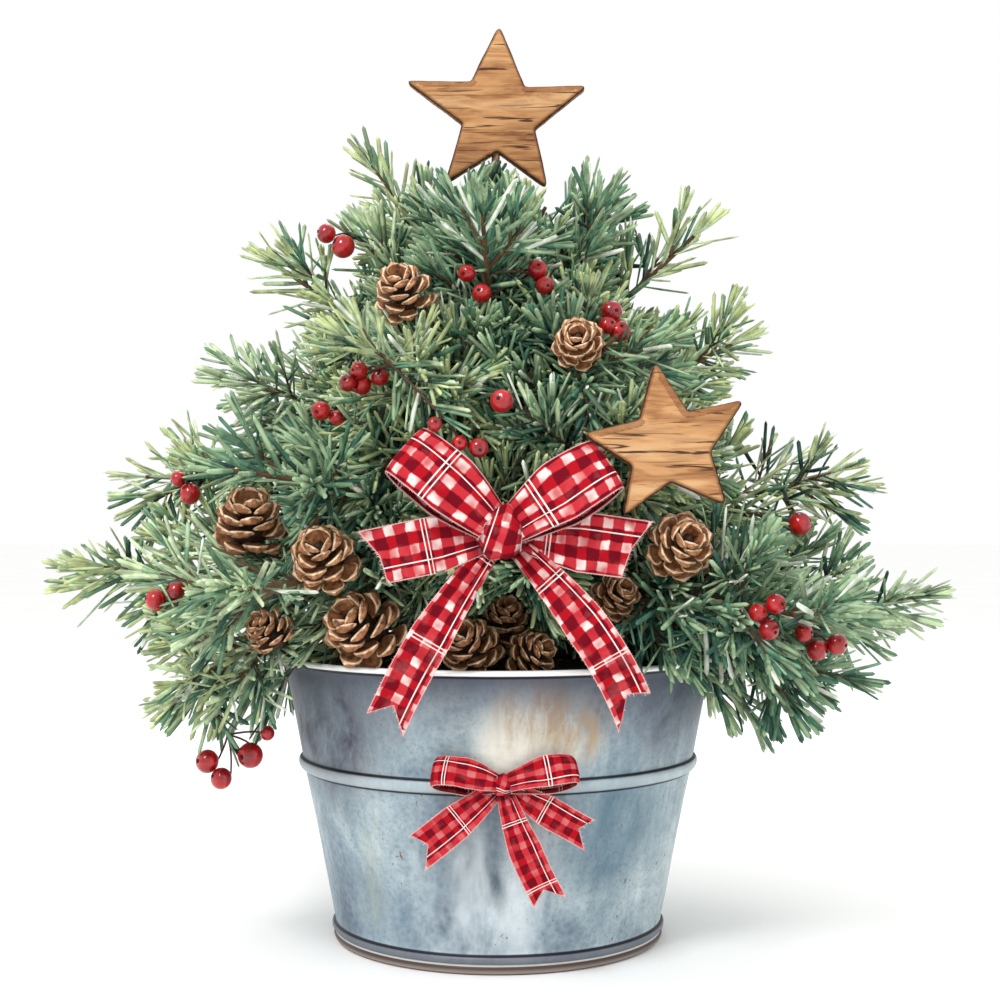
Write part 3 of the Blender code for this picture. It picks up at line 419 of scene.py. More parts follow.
class Shade:
    """A procedural material under construction. Its tone is the colour so far."""

    def __init__(self, name, roughness, metallic=0.0, **constants):
        self.material = bpy.data.materials.new(name)
        self.material.use_nodes = True
        self.tree = self.material.node_tree
        self.inputs = self.tree.nodes["Principled BSDF"].inputs
        self.inputs["Roughness"].default_value = roughness
        self.inputs["Metallic"].default_value = metallic
        for socket, value in constants.items():
            self.inputs[socket.replace("_", " ")].default_value = value
        coordinates = self.tree.nodes.new("ShaderNodeTexCoord")
        self.place = coordinates.outputs["Object"]
        self.uv = coordinates.outputs["UV"]
        self.tone = None

    def node(self, kind, inputs, output=0, **settings):
        made = self.tree.nodes.new("ShaderNode" + kind)
        for setting, value in settings.items():
            setattr(made, setting, value)
        for socket, value in inputs.items():
            if isinstance(value, bpy.types.NodeSocket):
                self.tree.links.new(value, made.inputs[socket])
            else:
                made.inputs[socket].default_value = value
        return made.outputs[output]

    def stretched(self, scale):
        return self.node("Mapping", {0: self.place, 3: scale})

    def noise(self, scale, detail=3.0, roughness=0.55, distortion=0.0, place=None, output=0):
        inputs = {
            "Vector": place or self.place, "Scale": scale, "Detail": detail,
            "Roughness": roughness, "Distortion": distortion,
        }
        return self.node("TexNoise", inputs, output)

    def ramp(self, factor, *stops):
        """Greys or colours by factor. A stop is its position, and a grey or a colour."""
        made = self.tree.nodes.new("ShaderNodeValToRGB")
        elements = made.color_ramp.elements
        while len(elements) < len(stops):
            elements.new(0.5)
        for element, (position, colour) in zip(elements, stops):
            element.position = position
            grey = isinstance(colour, float)
            element.color = (colour, colour, colour, 1) if grey else rgb(colour)
        self.tree.links.new(factor, made.inputs[0])
        return made.outputs[0]

    def mixed(self, factor, first, second):
        return self.node("Mix", {0: factor, 6: first, 7: second}, 2, data_type="RGBA")

    def lay(self, factor, colour):
        """Lays a colour over the tone, by factor."""
        self.tone = self.mixed(factor, self.tone, rgb(colour))

    def maths(self, operation, first, second=0.0, clamp=False):
        return self.node("Math", {0: first, 1: second}, operation=operation, use_clamp=clamp)

    def plus(self, first, second, clamp=False):
        return self.maths("ADD", first, second, clamp)

    def minus(self, first, second, clamp=False):
        return self.maths("SUBTRACT", first, second, clamp)

    def times(self, first, second, clamp=False):
        return self.maths("MULTIPLY", first, second, clamp)

    def vector(self, operation, first, second, output=0):
        return self.node("VectorMath", {0: first, 1: second}, output, operation=operation)

    def near(self, point, reach, place):
        """1 at a point, falling to 0 at the given reach along each axis."""
        share = self.vector("DIVIDE", self.vector("SUBTRACT", place, point), reach)
        return self.minus(1.0, self.vector("LENGTH", share, (0, 0, 0), 1), clamp=True)

    def fall(self, value, first, last, most):
        """`most` as far as `first`, then falling to 0 at `last`. It is exact where a ramp's
        steps would be too coarse."""
        return self.node("MapRange", {0: value, 1: first, 2: last, 3: most, 4: 0.0})

    def split(self, place):
        return self.node("SeparateXYZ", {0: place}).node.outputs

    def attribute(self, name):
        return self.node("Attribute", {}, "Fac", attribute_name=name)

    def finish(self, bump=None, strength=0.3, distance=0.001, roughness=None):
        self.tree.links.new(self.tone, self.inputs["Base Color"])
        if roughness is not None:
            self.tree.links.new(roughness, self.inputs["Roughness"])
        if bump is not None:
            relief = {"Height": bump, "Strength": strength, "Distance": distance}
            self.tree.links.new(self.node("Bump", relief), self.inputs["Normal"])
        return self.material


def clouded(name, roughness, cloud, stops, bump=None, depth=(0.3, 0.001), **constants):
    """A finish in clouds of the stops' colours. cloud and bump are what two noises are made
    with, and depth is the bump's strength and distance."""
    shade = Shade(name, roughness, **constants)
    shade.tone = shade.ramp(shade.noise(*cloud), *stops)
    return shade.finish(shade.noise(*bump) if bump else None, *depth)


def dark_finish(name, low, high, roughness=0.8):
    stops = ((0.35, low), (0.65, high))
    return clouded(name, roughness, (300, 3), stops, (700, 2), (0.4, 0.0004))


def scale_finish(name, *colours):
    stops = zip((0.32, 0.5, 0.68), colours)
    return clouded(name, 0.62, (230, 4, 0.6, 0.3), stops, (800, 3), (0.4, 0.0006))


def twig_finish():
    stops = ((0.3, (56, 38, 26)), (0.55, (94, 68, 42)), (0.75, (96, 98, 54)))
    return clouded("twig_bark", 0.8, (160, 3), stops, (700, 3), (0.5, 0.0008))


def thread_finish():
    stops = ((0.4, (206, 118, 116)), (0.6, (240, 214, 208)))
    return clouded("ribbon_thread", 0.85, (300, 1), stops)


def berry_finish():
    stops = ((0.35, (124, 4, 14)), (0.55, (170, 8, 18)), (0.75, (196, 26, 28)))
    return clouded("berry_skin", 0.30, (90, 2), stops, (260, 2), (0.06, 0.0004),
                   Specular_IOR_Level=0.25, Coat_Weight=0.85, Coat_Roughness=0.06)


def needle_finish(name, colour):
    shade = Shade("needle_" + name, 0.52, Specular_IOR_Level=0.28)
    shade.tone = rgb([value * 0.80 for value in colour])
    cloud = shade.ramp(shade.noise(70, 2), (0.36, 0.0), (0.64, 1.0))
    shade.lay(cloud, [min(255, value * 1.14 + 4) for value in colour])
    return shade.finish(shade.noise(900, 2), 0.15, 0.0004)


def bark_finish():
    shade = Shade("tree_bark", 0.85)
    grain = shade.noise(240, 5, 0.65, 0.4, shade.stretched((1, 1, 0.3)))
    stops = ((0.28, (46, 32, 24)), (0.5, (98, 72, 50)), (0.72, (150, 122, 94)))
    shade.tone = shade.ramp(grain, *stops)
    lichen = shade.ramp(shade.noise(60, 3), (0.62, 0.0), (0.72, 0.5))
    shade.lay(lichen, (128, 140, 104))
    return shade.finish(grain, 0.7, 0.0016)


def soil_finish():
    shade = Shade("potting_soil", 0.95)
    grain = shade.noise(220, 5, 0.7)
    shade.tone = shade.ramp(grain, (0.3, (24, 18, 15)), (0.5, (52, 38, 30)), (0.7, (86, 64, 48)))
    moss = shade.ramp(shade.noise(34, 3), (0.55, 0.0), (0.66, 0.8))
    shade.lay(moss, (54, 70, 34))
    return shade.finish(grain, 0.8, 0.002)


def zinc_finish():
    """Weathered galvanised steel: clouded grey-blue zinc with faint crystal flakes, a pale cream
    patch, a tan stain, teal bloom and rust specks. Painted shade darkens it towards the top
    under the rim, at its sides and in the creases, the small bow's tails cast painted shadows on
    it, and painted highlights lighten the rolled rim and a patch low in the middle."""
    shade = Shade("galvanised_steel", 0.5, 0.22, Specular_IOR_Level=0.2)
    height = shade.split(shade.place)[2]
    runs, squat = shade.stretched((1, 1, 0.22)), shade.stretched((1, 1, 0.7))
    cloud = shade.noise(13, 6, 0.66, 0.5, squat)
    streak = shade.noise(34, 4, 0.62, 0.2, runs)
    blend = shade.plus(shade.times(cloud, 0.66), shade.times(streak, 0.34))
    shade.tone = shade.ramp(
        blend, (0.36, (72, 90, 106)), (0.45, (116, 136, 150)), (0.52, (150, 168, 176)),
        (0.59, (184, 198, 202)), (0.67, (216, 224, 224)),
    )
    flakes = shade.node("TexVoronoi", {"Vector": shade.place, "Scale": 230})
    shade.lay(shade.times(flakes, 0.20), (226, 234, 238))
    shade.lay(shade.ramp(shade.noise(420, 4, 0.7), (0.36, 0.30), (0.50, 0.0)), (92, 106, 120))

    swirl = shade.vector("SUBTRACT", shade.noise(26, 5, 0.5, place=runs, output=1), (0.5, 0.5, 0.5))
    warped = shade.vector("ADD", shade.place, shade.vector("MULTIPLY", swirl, (0.07, 0.0, 0.05)))
    textures = {"cloud": cloud, "streak": streak, "dabs": shade.noise(95, 5, 0.7, 0.3, runs)}
    for middle, reach, strength, colour, texture in ZINC_PATCHES:
        share = shade.times(shade.near(middle, reach, warped), 1.7, clamp=True)
        torn = shade.ramp(textures[texture], (0.40, 0.15), (0.58, 1.0))
        shade.lay(shade.times(share, shade.times(torn, strength)), colour)
    specks = shade.ramp(shade.noise(300, 2, place=squat), (0.68, 0.0), (0.73, 0.85))
    region = shade.ramp(shade.noise(14, 2), (0.46, 0.0), (0.58, 1.0))
    shade.lay(shade.times(specks, region), (126, 84, 52))
    # painted shade: the zinc darker towards the top, under the rim and the crown
    sloping = shade.plus(height, shade.times(cloud, 0.022))
    shade.lay(shade.ramp(sloping, (0.156, 0.0), (0.180, 0.42), (0.200, 0.88)), (74, 76, 90))
    for middle, end, faded, strength, colour in ZINC_LINES:
        apart = shade.maths("ABSOLUTE", shade.minus(height, middle))
        shade.lay(shade.fall(apart, end, faded, strength), colour)
    rough = shade.ramp(blend, (0.35, 0.42), (0.7, 0.62))
    relief = shade.plus(shade.times(flakes, 0.35), shade.noise(520, 2))
    return shade.finish(relief, 0.22, 0.0006, rough)


def wood_finish():
    """Tan board with broad brown bands, dark level cracks and burnt brown edges."""
    shade = Shade("star_wood", 0.72, Specular_IOR_Level=0.2)
    rows = shade.stretched((0.14, 0.5, 1.0))
    wavy = shade.noise(170, 4, 0.6, 1.2, rows)
    broad = shade.ramp(
        shade.noise(62, 3, 0.55, 1.0, rows), (0.34, (116, 72, 40)), (0.44, (158, 108, 66)),
        (0.54, (182, 134, 88)), (0.68, (202, 162, 118)),
    )
    fine = shade.ramp(wavy, (0.36, (116, 72, 42)), (0.54, (194, 148, 102)))
    shade.tone = shade.mixed(0.38, broad, fine)
    crack = shade.noise(390, 2, 0.5, 0.9, shade.stretched((0.058, 0.5, 1.0)))
    dark = shade.ramp(crack, (0.36, 0.95), (0.41, 0.0))
    place = shade.ramp(shade.noise(42, 2, place=rows), (0.36, 0.0), (0.48, 1.0))
    shade.lay(shade.times(dark, place), (64, 38, 24))
    ragged = shade.plus(shade.attribute("edge"), shade.times(shade.noise(240, 2), 0.30))
    shade.lay(shade.ramp(ragged, (0.36, 0.0), (0.58, 0.62)), (120, 74, 44))
    shade.lay(shade.ramp(ragged, (0.74, 0.0), (0.94, 0.94)), (52, 30, 20))
    return shade.finish(shade.plus(wavy, crack), 0.35, 0.0007)


def ribbon_finish(name, check, whiteness=1.0):
    """Woven check: white, red and dark red squares, with fine white lines."""
    shade = Shade(name, 0.9, Specular_IOR_Level=0.04)
    across, along, _ = shade.split(shade.uv)

    def cloud(scale, detail, *stops):
        return shade.ramp(shade.noise(scale, detail, place=shade.uv), *stops)

    wander = shade.minus(shade.noise(110, 3, place=shade.uv), 0.5)
    wander = shade.times(wander, check * 0.5)

    def band(distance, phase):
        """1 on the light bands, 0 on the dark ones."""
        moved = shade.plus(shade.plus(distance, wander), phase)
        wave = shade.maths("SINE", shade.times(moved, math.pi / check))
        return shade.plus(shade.times(wave, 3.0), -0.10, clamp=True)

    def line(distance, period, middle, half):
        """1 on fine lines across a distance. Its sizes are in squares of the check."""
        lap = shade.maths("PINGPONG", shade.plus(distance, check * middle), check * period)
        return shade.maths("LESS_THAN", lap, check * half)

    one, two = band(across, check * 0.5), band(along, 0.0)
    either = shade.maths("MAXIMUM", one, two)
    shade.tone = shade.mixed(either, rgb((108, 14, 28)), rgb((166, 20, 32)))
    shade.lay(shade.times(either, shade.minus(one, 0.4, clamp=True)), (196, 58, 66))
    strength = cloud(75, 1, (0.38, 0.14 * whiteness), (0.58, 0.93 * whiteness))
    shade.lay(shade.times(shade.times(one, two), strength), (238, 222, 216))
    pair = shade.maths("MAXIMUM", line(along, 4.5, 1.45, 0.06), line(along, 4.5, 1.80, 0.05))
    lines = shade.maths("MAXIMUM", pair, line(across, 4, 1.2, 0.06))
    shade.lay(shade.times(lines, 0.85), (250, 236, 230))
    shade.lay(cloud(60, 4, (0.52, 0.0), (0.74, 0.34)), (214, 112, 112))
    shade.lay(cloud(48, 3, (0.30, 0.45), (0.46, 0.0)), (84, 6, 18))
    # painted shade near the knots, inside the loops and at the knot's edges, from a mark on the
    # mesh
    shade.lay(shade.attribute("dusk"), (42, 4, 12))
    shade.lay(shade.ramp(shade.attribute("edge"), (0.955, 0.0), (0.985, 0.75)), (232, 190, 184))
    threads = [
        shade.maths("SINE", shade.times(distance, 2 * math.pi / 0.0008))
        for distance in (across, along)
    ]
    return shade.finish(shade.times(*threads), 0.25, 0.0003)


# ---------------------------------------------------------------- mesh tools


def placed(name, data):
    """A new object in the scene."""
    made = bpy.data.objects.new(name, data)
    bpy.context.scene.collection.objects.link(made)
    return made


def claimed(made, slot, nodes):
    """A piece rides on the tree's body, and stands for the nodes that it replaces."""
    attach(made, BODY)
    if nodes:
        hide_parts(*nodes)
    return made


def add_piece(name, vertices, faces, finishes, indices=None, soft=True, slot=None, nodes=()):
    """A mesh piece. faces has 3 or 4 corners a row, and indices gives each one's material."""
    mesh = bpy.data.meshes.new(name)
    faces = np.asarray(faces, np.int32)
    mesh.vertices.add(len(vertices))
    mesh.vertices.foreach_set("co", np.asarray(vertices, np.float32).ravel())
    mesh.loops.add(faces.size)
    mesh.loops.foreach_set("vertex_index", faces.ravel())
    mesh.polygons.add(len(faces))
    mesh.polygons.foreach_set("loop_start", np.arange(len(faces), dtype=np.int32) * faces.shape[1])
    for finish in finishes:
        mesh.materials.append(finish)
    if indices is not None:
        mesh.polygons.foreach_set("material_index", np.asarray(indices, np.int32))
    mesh.update(calc_edges=True)
    if soft:
        mesh.shade_smooth()
    return claimed(placed(name, mesh), slot, nodes)


class Bundle:
    """Shapes that are joined into one piece."""

    def __init__(self):
        self.vertices, self.faces, self.indices, self.count = [], [], [], 0

    def add(self, vertices, faces, index=0):
        self.vertices.append(vertices)
        self.faces.append(faces + self.count)
        self.indices.append(np.broadcast_to(index, (len(faces),)))
        self.count += len(vertices)

    def piece(self, name, finishes, **settings):
        joined = [np.concatenate(rows) for rows in (self.vertices, self.faces, self.indices)]
        return add_piece(name, joined[0], joined[1], finishes, joined[2], **settings)


def grid_faces(rows, columns):
    """Triangles of a grid of rows by columns, which closes on itself across."""
    faces = []
    for i in range(rows - 1):
        for j in range(columns):
            a, b = i * columns + j, i * columns + (j + 1) % columns
            faces += [(a, b, b + columns), (a, b + columns, a + columns)]
    return faces


def ball_shape(make, **settings):
    """A ball of radius 1 in triangles, as arrays. They are sorted because the order that
    Blender cuts them in changes from run to run."""
    ball = bmesh.new()
    make(ball, radius=1, **settings)
    bmesh.ops.triangulate(ball, faces=ball.faces)
    vertices = np.array([tuple(vertex.co) for vertex in ball.verts])
    faces = sorted([vertex.index for vertex in face.verts] for face in ball.faces)
    ball.free()
    return vertices, np.array(faces)


def lathe(profile, segments):
    """A profile of (radius, height) pairs turned about Z."""
    turns = np.linspace(0, 2 * math.pi, segments, endpoint=False)
    rings = [
        np.stack([radius * np.cos(turns), radius * np.sin(turns), np.full(segments, height)], 1)
        for radius, height in profile
    ]
    return np.concatenate(rings), np.array(grid_faces(len(profile), segments))


def bent(start, control, end, t):
    return start * (1 - t) ** 2 + control * 2 * t * (1 - t) + end * t * t


def curve(start, control, end, count):
    return [bent(start, control, end, i / count) for i in range(count + 1)]


def spun(side, up, turn):
    """A heading that turns from side to up."""
    return side * math.cos(turn) + up * math.sin(turn)


def around_z(turn):
    return Vector((math.cos(turn), math.sin(turn), 0))


def path_length(points):
    return sum((b - a).length for a, b in zip(points, points[1:]))


def frames(points):
    """Tangent, side and up at each point of a path."""
    made, side = [], side_of(points)
    for i in range(len(points)):
        ahead = points[min(i + 1, len(points) - 1)] - points[max(i - 1, 0)]
        tangent = ahead.normalized()
        side = (side - tangent * side.dot(tangent)).normalized()
        made.append((tangent, side, tangent.cross(side)))
    return made


def side_of(points):
    across = (points[-1] - points[0]).normalized().cross(UP)
    return across.normalized() if across.length > 0.05 else Vector((1, 0, 0))


def tube(points, radii, sides, relief=None):
    """A round limb along points. radii are its first and last radius, or one for each
    point, and relief adds to the radius at a place."""
    if len(radii) < len(points):
        radii = tapered(*radii, len(points))
    vertices = []
    for point, radius, (_, side, up) in zip(points, radii, frames(points)):
        for k in range(sides):
            outwards = spun(side, up, 2 * math.pi * k / sides)
            reach = radius * (1 + (relief(point + outwards * radius) if relief else 0))
            vertices.append(point + outwards * reach)
    count = len(vertices)
    vertices += [points[0], points[-1]]
    faces = grid_faces(len(points), sides)
    for k in range(sides):
        after, last = (k + 1) % sides, count - sides
        faces += [(after, k, count), (last + k, last + after, count + 1)]
    return np.array([tuple(v) for v in vertices]), np.array(faces)


def tapered(first, last, count):
    return [first + (last - first) * i / max(1, count - 1) for i in range(count)]


def pixel_size(depth):
    """What one pixel of the picture spans at this depth."""
    return PICTURE_WIDTH / IMAGE_SIZE * (CAMERA_DISTANCE + depth) / CAMERA_DISTANCE


def seen_at(pixel_x, pixel_y, depth):
    """Where something at this depth stands, if the picture shows it at this pixel."""
    size = pixel_size(depth)
    height = CAMERA_HEIGHT + (HORIZON_PIXEL - pixel_y) * size
    return Vector(((pixel_x - AXIS_PIXEL) * size, depth, height))


# ---------------------------------------------------------------- bucket, soil, trunk


def wall_radius(height):
    return FOOT_RADIUS + (RIM_RADIUS - FOOT_RADIUS) * height / BUCKET_HEIGHT


def bead(middle, width, bulge, steps=10):
    points = []
    for i in range(steps + 1):
        turn = math.pi * i / steps
        height = middle - math.cos(turn) * width / 2
        points.append((wall_radius(height) + bulge * math.sin(turn), height))
    return points


def wall(height, end):
    """Points up the outer wall."""
    points = []
    while height < end:
        height += WALL_STEP
        points.append((wall_radius(height), height))
    return points


def make_bucket():
    foot = 0.0002
    profile = [(AXIS_HOLE, foot), (FOOT_RADIUS * 0.97, foot), (FOOT_RADIUS, 0.0)]
    for middle in (HEM_BEAD / 2, HEM_BEAD * 1.5):
        profile += bead(middle, HEM_BEAD, HEM_BULGE)[1:]
    profile += wall(HEM_BEAD * 2, BAND_HEIGHT - BAND_WIDTH / 2 - WALL_STEP)
    profile += bead(BAND_HEIGHT, BAND_WIDTH, BAND_BULGE)
    profile += wall(BAND_HEIGHT + BAND_WIDTH / 2, BUCKET_HEIGHT - RIM_ROLL * 3)
    radius, height = RIM_RADIUS + RIM_ROLL * 0.4, BUCKET_HEIGHT - RIM_ROLL
    for degrees in range(-70, 221, 18):  # the rolled rim
        turn = math.radians(degrees)
        profile.append((radius + RIM_ROLL * math.cos(turn), height + RIM_ROLL * math.sin(turn)))
    profile += [(wall_radius(height) - WALL, height) for height in INSIDE_HEIGHTS]
    profile.append((AXIS_HOLE, BASE_THICKNESS))
    vertices, faces = lathe(profile, BUCKET_SEGMENTS)
    for vertex in vertices:
        turn = math.atan2(vertex[1], vertex[0])
        place = Vector((math.cos(turn) * 2.2, math.sin(turn) * 2.2, vertex[2] * 22))
        dent = noise.noise(place) * DENT * min(1.0, vertex[2] / 0.03)
        vertex[0] += math.cos(turn) * dent
        vertex[1] += math.sin(turn) * dent
    return add_piece("bucket_shell", vertices, faces, [zinc_finish()], slot="galvanised",
                     nodes=["bucket"])


SOIL_EDGE = wall_radius(SOIL_EDGE_HEIGHT) - WALL * 1.4


def soil_height(radius):
    """The surface of the soil at a distance from the trunk."""
    shoulder = (SOIL_EDGE_HEIGHT + SOIL_TOP_HEIGHT * 2) / 3
    return float(np.interp(
        radius, [0, SOIL_CROWN_RADIUS, SOIL_SHOULDER_RADIUS, SOIL_EDGE],
        [SOIL_TOP_HEIGHT, SOIL_TOP_HEIGHT, shoulder, SOIL_EDGE_HEIGHT],
    ))


def make_soil():
    rng = random.Random("soil")
    profile = [(SOIL_EDGE * (i + 0.02) / SOIL_RINGS, 0) for i in range(SOIL_RINGS + 1)]
    vertices, faces = lathe(profile, SOIL_SEGMENTS)
    for vertex in vertices:
        place = Vector((vertex[0], vertex[1], 0))
        rough = noise.fractal(place * 90, 1.0, 2.2, 4) * 0.0011 + noise.noise(place * 26) * 0.0012
        vertex[2] = soil_height(math.hypot(vertex[0], vertex[1])) + rough - 0.0008
    bundle = Bundle()
    bundle.add(vertices, faces)
    ball, ball_faces = ball_shape(bmesh.ops.create_icosphere, subdivisions=1)
    for number in range(CRUMBS):
        radius = SOIL_EDGE * 0.975 * math.sqrt(rng.random())
        turn = rng.uniform(0, 2 * math.pi)
        size = rng.uniform(0.0008, 0.0026) * (1.5 if rng.random() < 0.12 else 1)
        chip = np.array([rng.uniform(0.6, 1.5), rng.uniform(0.5, 1.0), rng.uniform(0.35, 0.8)])
        spin = np.array(Matrix.Rotation(rng.uniform(0, math.pi), 3, "Z"))
        shape = (ball * chip * size * rng.uniform(0.8, 1.2)) @ spin
        at = np.array([radius * math.cos(turn), radius * math.sin(turn), soil_height(radius)])
        bundle.add(shape + at, ball_faces, 1 if number % 4 == 0 else 0)
    chips = dark_finish("bark_chip", (60, 40, 28), (128, 92, 62))
    return bundle.piece("soil_bed", [soil_finish(), chips], slot="soil", nodes=["soil"])


def trunk_share(height):
    return (height - TRUNK_FOOT) / (TRUNK_TIP - TRUNK_FOOT)


def trunk_point(height):
    share = trunk_share(height)
    sway_x = TRUNK_SWAY * math.sin(2 * math.pi * share)
    sway_y = TRUNK_SWAY * math.sin(math.pi * share)
    return Vector((sway_x, sway_y, height))


def trunk_radius(height):
    taper = TRUNK_TIP_RADIUS + (TRUNK_RADIUS - TRUNK_TIP_RADIUS) * (1 - trunk_share(height))
    return taper + ROOT_FLARE * math.exp(-(height - TRUNK_FOOT) / FLARE_HEIGHT)


def bark_relief(place):
    ridges = noise.noise(Vector((place.x * 420, place.y * 420, place.z * 90)))
    plates = noise.noise(Vector((place.x * 160, place.y * 160, place.z * 46)))
    return 0.10 * ridges + 0.08 * plates - 0.06


def make_limbs(sprays):
    bark = bark_finish()
    step = (TRUNK_TIP - TRUNK_FOOT) / TRUNK_RINGS
    heights = [TRUNK_FOOT - 0.001 + step * i for i in range(TRUNK_RINGS + 1)]
    points = [trunk_point(height) for height in heights]
    bundle = Bundle()
    bundle.add(*tube(points, [trunk_radius(max(h, TRUNK_FOOT)) for h in heights], 32, bark_relief))
    trunk = bundle.piece("trunk_bark", [bark], slot="bark", nodes=["trunk"])
    boughs, nodes = Bundle(), []
    for spray in sprays:
        if spray.tier == BOUGH_TIER and not spray.inner:
            points = spray.whole[: round(BOUGH_SHARE * CURVE_STEPS) + 2]
            radii = (BOUGH_RADIUS * 0.9, BOUGH_END_RADIUS * 0.9)
            boughs.add(*tube(points, radii, 16, bark_relief))
            nodes.append("bough_" + spray.name)
    boughs.piece("boughs_bark", [bark], slot="bark", nodes=nodes)
    return trunk


# ---------------------------------------------------------------- growth


class Shoot:
    """One needled twig. needle is its needles' length over NEEDLE_LENGTH, and a stem's
    rank is 0."""

    def __init__(self, points, radii, bare, needle=1.0, rank=1):
        self.points, self.radii, self.bare = points, radii, bare
        self.needle, self.rank = needle, rank


class Spray:
    """One mass of needles, with the stem and twigs of the solid and finer ones between."""

    def __init__(self, tier, azimuth, number, name, shrink=1.0, lift=0.0):
        settings = TIERS[tier]
        self.name, self.tier, self.inner = name, tier, shrink < 1
        self.twig_count = settings["twigs"]
        self.twig_length = settings["twig"] * (0.6 + 0.4 * shrink)
        outwards = around_z(azimuth)
        right, left = Vector(settings["right"]), Vector(settings["left"])
        reach, height = left.lerp(right, (1 + math.cos(azimuth)) / 2)
        reach *= (1 - (1 - settings["depth"]) * abs(math.sin(azimuth))) * shrink
        foot = settings["foot"] + STAGGER * (number % 2) + lift
        start = trunk_point(foot) + outwards * trunk_radius(foot) * STEM_DEPTH
        self.blunt = name in CARRIED
        if self.blunt:
            end = CARRIED[name] - FRONT * GAP * 2
            control = Vector((end.x, (start.y + end.y) / 2, end.z))
        else:
            tip = outwards * reach + UP * (height + lift * 1.5)
            control = (start + tip) / 2 + UP * settings["arch"]
            end = tip - (tip - control).normalized() * TIP_REACH
        self.whole = curve(start, control, end, CURVE_STEPS)
        on_bough = tier == BOUGH_TIER and not self.inner
        self.fine_points = self.whole[round(BOUGH_SHARE * CURVE_STEPS) if on_bough else 0:]
        count = max(4, round(path_length(self.fine_points) / STEM_STEP))
        last = len(self.fine_points) - 1
        self.points = [self.fine_points[round(i * last / count)] for i in range(count + 1)]
        last_tooth = math.floor(CARRYING_BARE * count) if self.blunt else count
        self.toothed = range(round(settings["bare"] / STEM_STEP), last_tooth)
        self.bare = 0.0 if on_bough else SKIRT_BARE if tier == "skirt" else INNER_BARE

    def plans(self, fine):
        """Foot, heading, stem's heading, length and roll of each twig. Those with fine set
        to 0 are the solid's own, and the others grow between them."""
        rng = random.Random(self.name if fine == 0 else f"{self.name} {fine}")
        frame = frames(self.points)
        segments = len(self.points) - 1
        count = self.twig_count if fine == 0 else round(self.twig_count * FINE_RATE)
        first = self.toothed.start if fine == 0 else min(self.toothed.start, 1)
        for number in range(count):
            along = (number + rng.uniform(0.1, 0.6)) / count * (FINE_PART if fine else 1)
            at = first + (self.toothed.stop - first) * along * LAST_TWIG
            low = min(int(at), segments - 1)
            foot = self.points[low].lerp(self.points[low + 1], at - low)
            turn = number * GOLDEN_ANGLE + rng.uniform(-TWIG_JITTER, TWIG_JITTER)
            turn += fine * FINE_ROLL
            tangent, side, up = frame[low]
            stretch = TWIG_FLATTEN + (1 - TWIG_FLATTEN) * abs(math.cos(turn))
            near, far = TWIG_LENGTHS
            length = self.twig_length * stretch * (near + (far - near) * along)
            length *= rng.uniform(0.85, 1.1) * (FINE_SHARE if fine else 1)
            heading = spun(tangent, spun(side, up, turn), TWIG_ANGLE)
            if fine:
                normal = crown_normal(foot)
                heading -= normal * max(0.0, heading.dot(normal)) * FINE_TURN
                heading = (heading + UP * FINE_RISE).normalized()
            yield foot, heading, tangent, length, rng.uniform(0, math.pi)

    def shoots(self, clear):
        """Every needled twig of the spray, as far as it keeps clear of the ornaments."""
        bare_end = BLUNT_BARE if self.blunt else 0.0
        stem = self.fine_points[: len(self.fine_points) - round(bare_end * CURVE_STEPS)]
        made = [Shoot(stem, STEM_RADII, self.bare, rank=0)]
        for fine in (0, 1):
            for foot, heading, tangent, length, roll in self.plans(fine):
                points = clear(twig_path(foot, heading, tangent, length))
                if len(points) < LEAST_POINTS:
                    continue
                made.append(Shoot(points, *TWIG))
                if path_length(points) > FORK_LENGTH:
                    made += self.forks(points, heading, tangent, roll, clear)
        return made

    def forks(self, points, heading, tangent, roll, clear):
        made = []
        across = heading.cross(tangent)
        across = across.normalized() if across.length > 0.01 else side_of(points)
        for turn in (0, 1):
            at = round(len(points) * (0.34 + 0.2 * turn))
            way = Matrix.Rotation(roll, 3, heading) @ across * (1 - 2 * turn)
            aim = (heading.normalized() * 0.80 + way * 0.60).normalized()
            length = path_length(points) * (FORK_SHARE - 0.1 * turn)
            path = clear(twig_path(points[at], aim, heading, length))
            if len(path) >= LEAST_POINTS:
                made.append(Shoot(path, *FORK))
        return made


def crown_normal(place):
    """Out of the crown's surface."""
    flat = Vector((place.x, place.y, 0))
    away = flat.normalized() if flat.length > 0.004 else FRONT
    return away * 0.93 + UP * 0.36


def twig_path(foot, heading, tangent, length):
    end = foot + (heading + tangent * TWIG_BEND) * length
    return curve(foot, foot + heading * length * 0.5, end, max(4, round(length / TWIG_STEP)))


def all_sprays():
    sprays = []
    for tier, settings in TIERS.items():
        spacing = settings["span"] / max(1, settings["count"] - 1)
        for number in range(settings["count"]):
            azimuth = math.radians(settings["first"] + spacing * number)
            sprays.append(Spray(tier, azimuth, number, f"{tier}_{number + 1}"))
        count = INNER_SPRAYS.get(tier, 0)
        lift = INNER_LIFTS.get(tier, INNER_LIFT)
        for number in range(count):
            azimuth = math.radians(settings["first"] + spacing * 0.5 + 360 * number / count)
            name = f"{tier}_inner_{number + 1}"
            sprays.append(Spray(tier, azimuth, number, name, INNER_SHRINK, lift))
    return sprays


def top_shoots():
    """Short upright shoots round the trunk, under the top star."""
    made = []
    for number in range(TOP_SHOOTS):
        offset = around_z(2 * math.pi * number / TOP_SHOOTS - math.pi / 2) * TOP_SHOOT_STAND_OFF
        foot, tip = (trunk_point(height) + offset for height in TOP_SHOOT_HEIGHTS)
        made.append(Shoot(curve(foot, (foot + tip) / 2 + offset, tip, 8), *TOP_SHOOT))
    return made


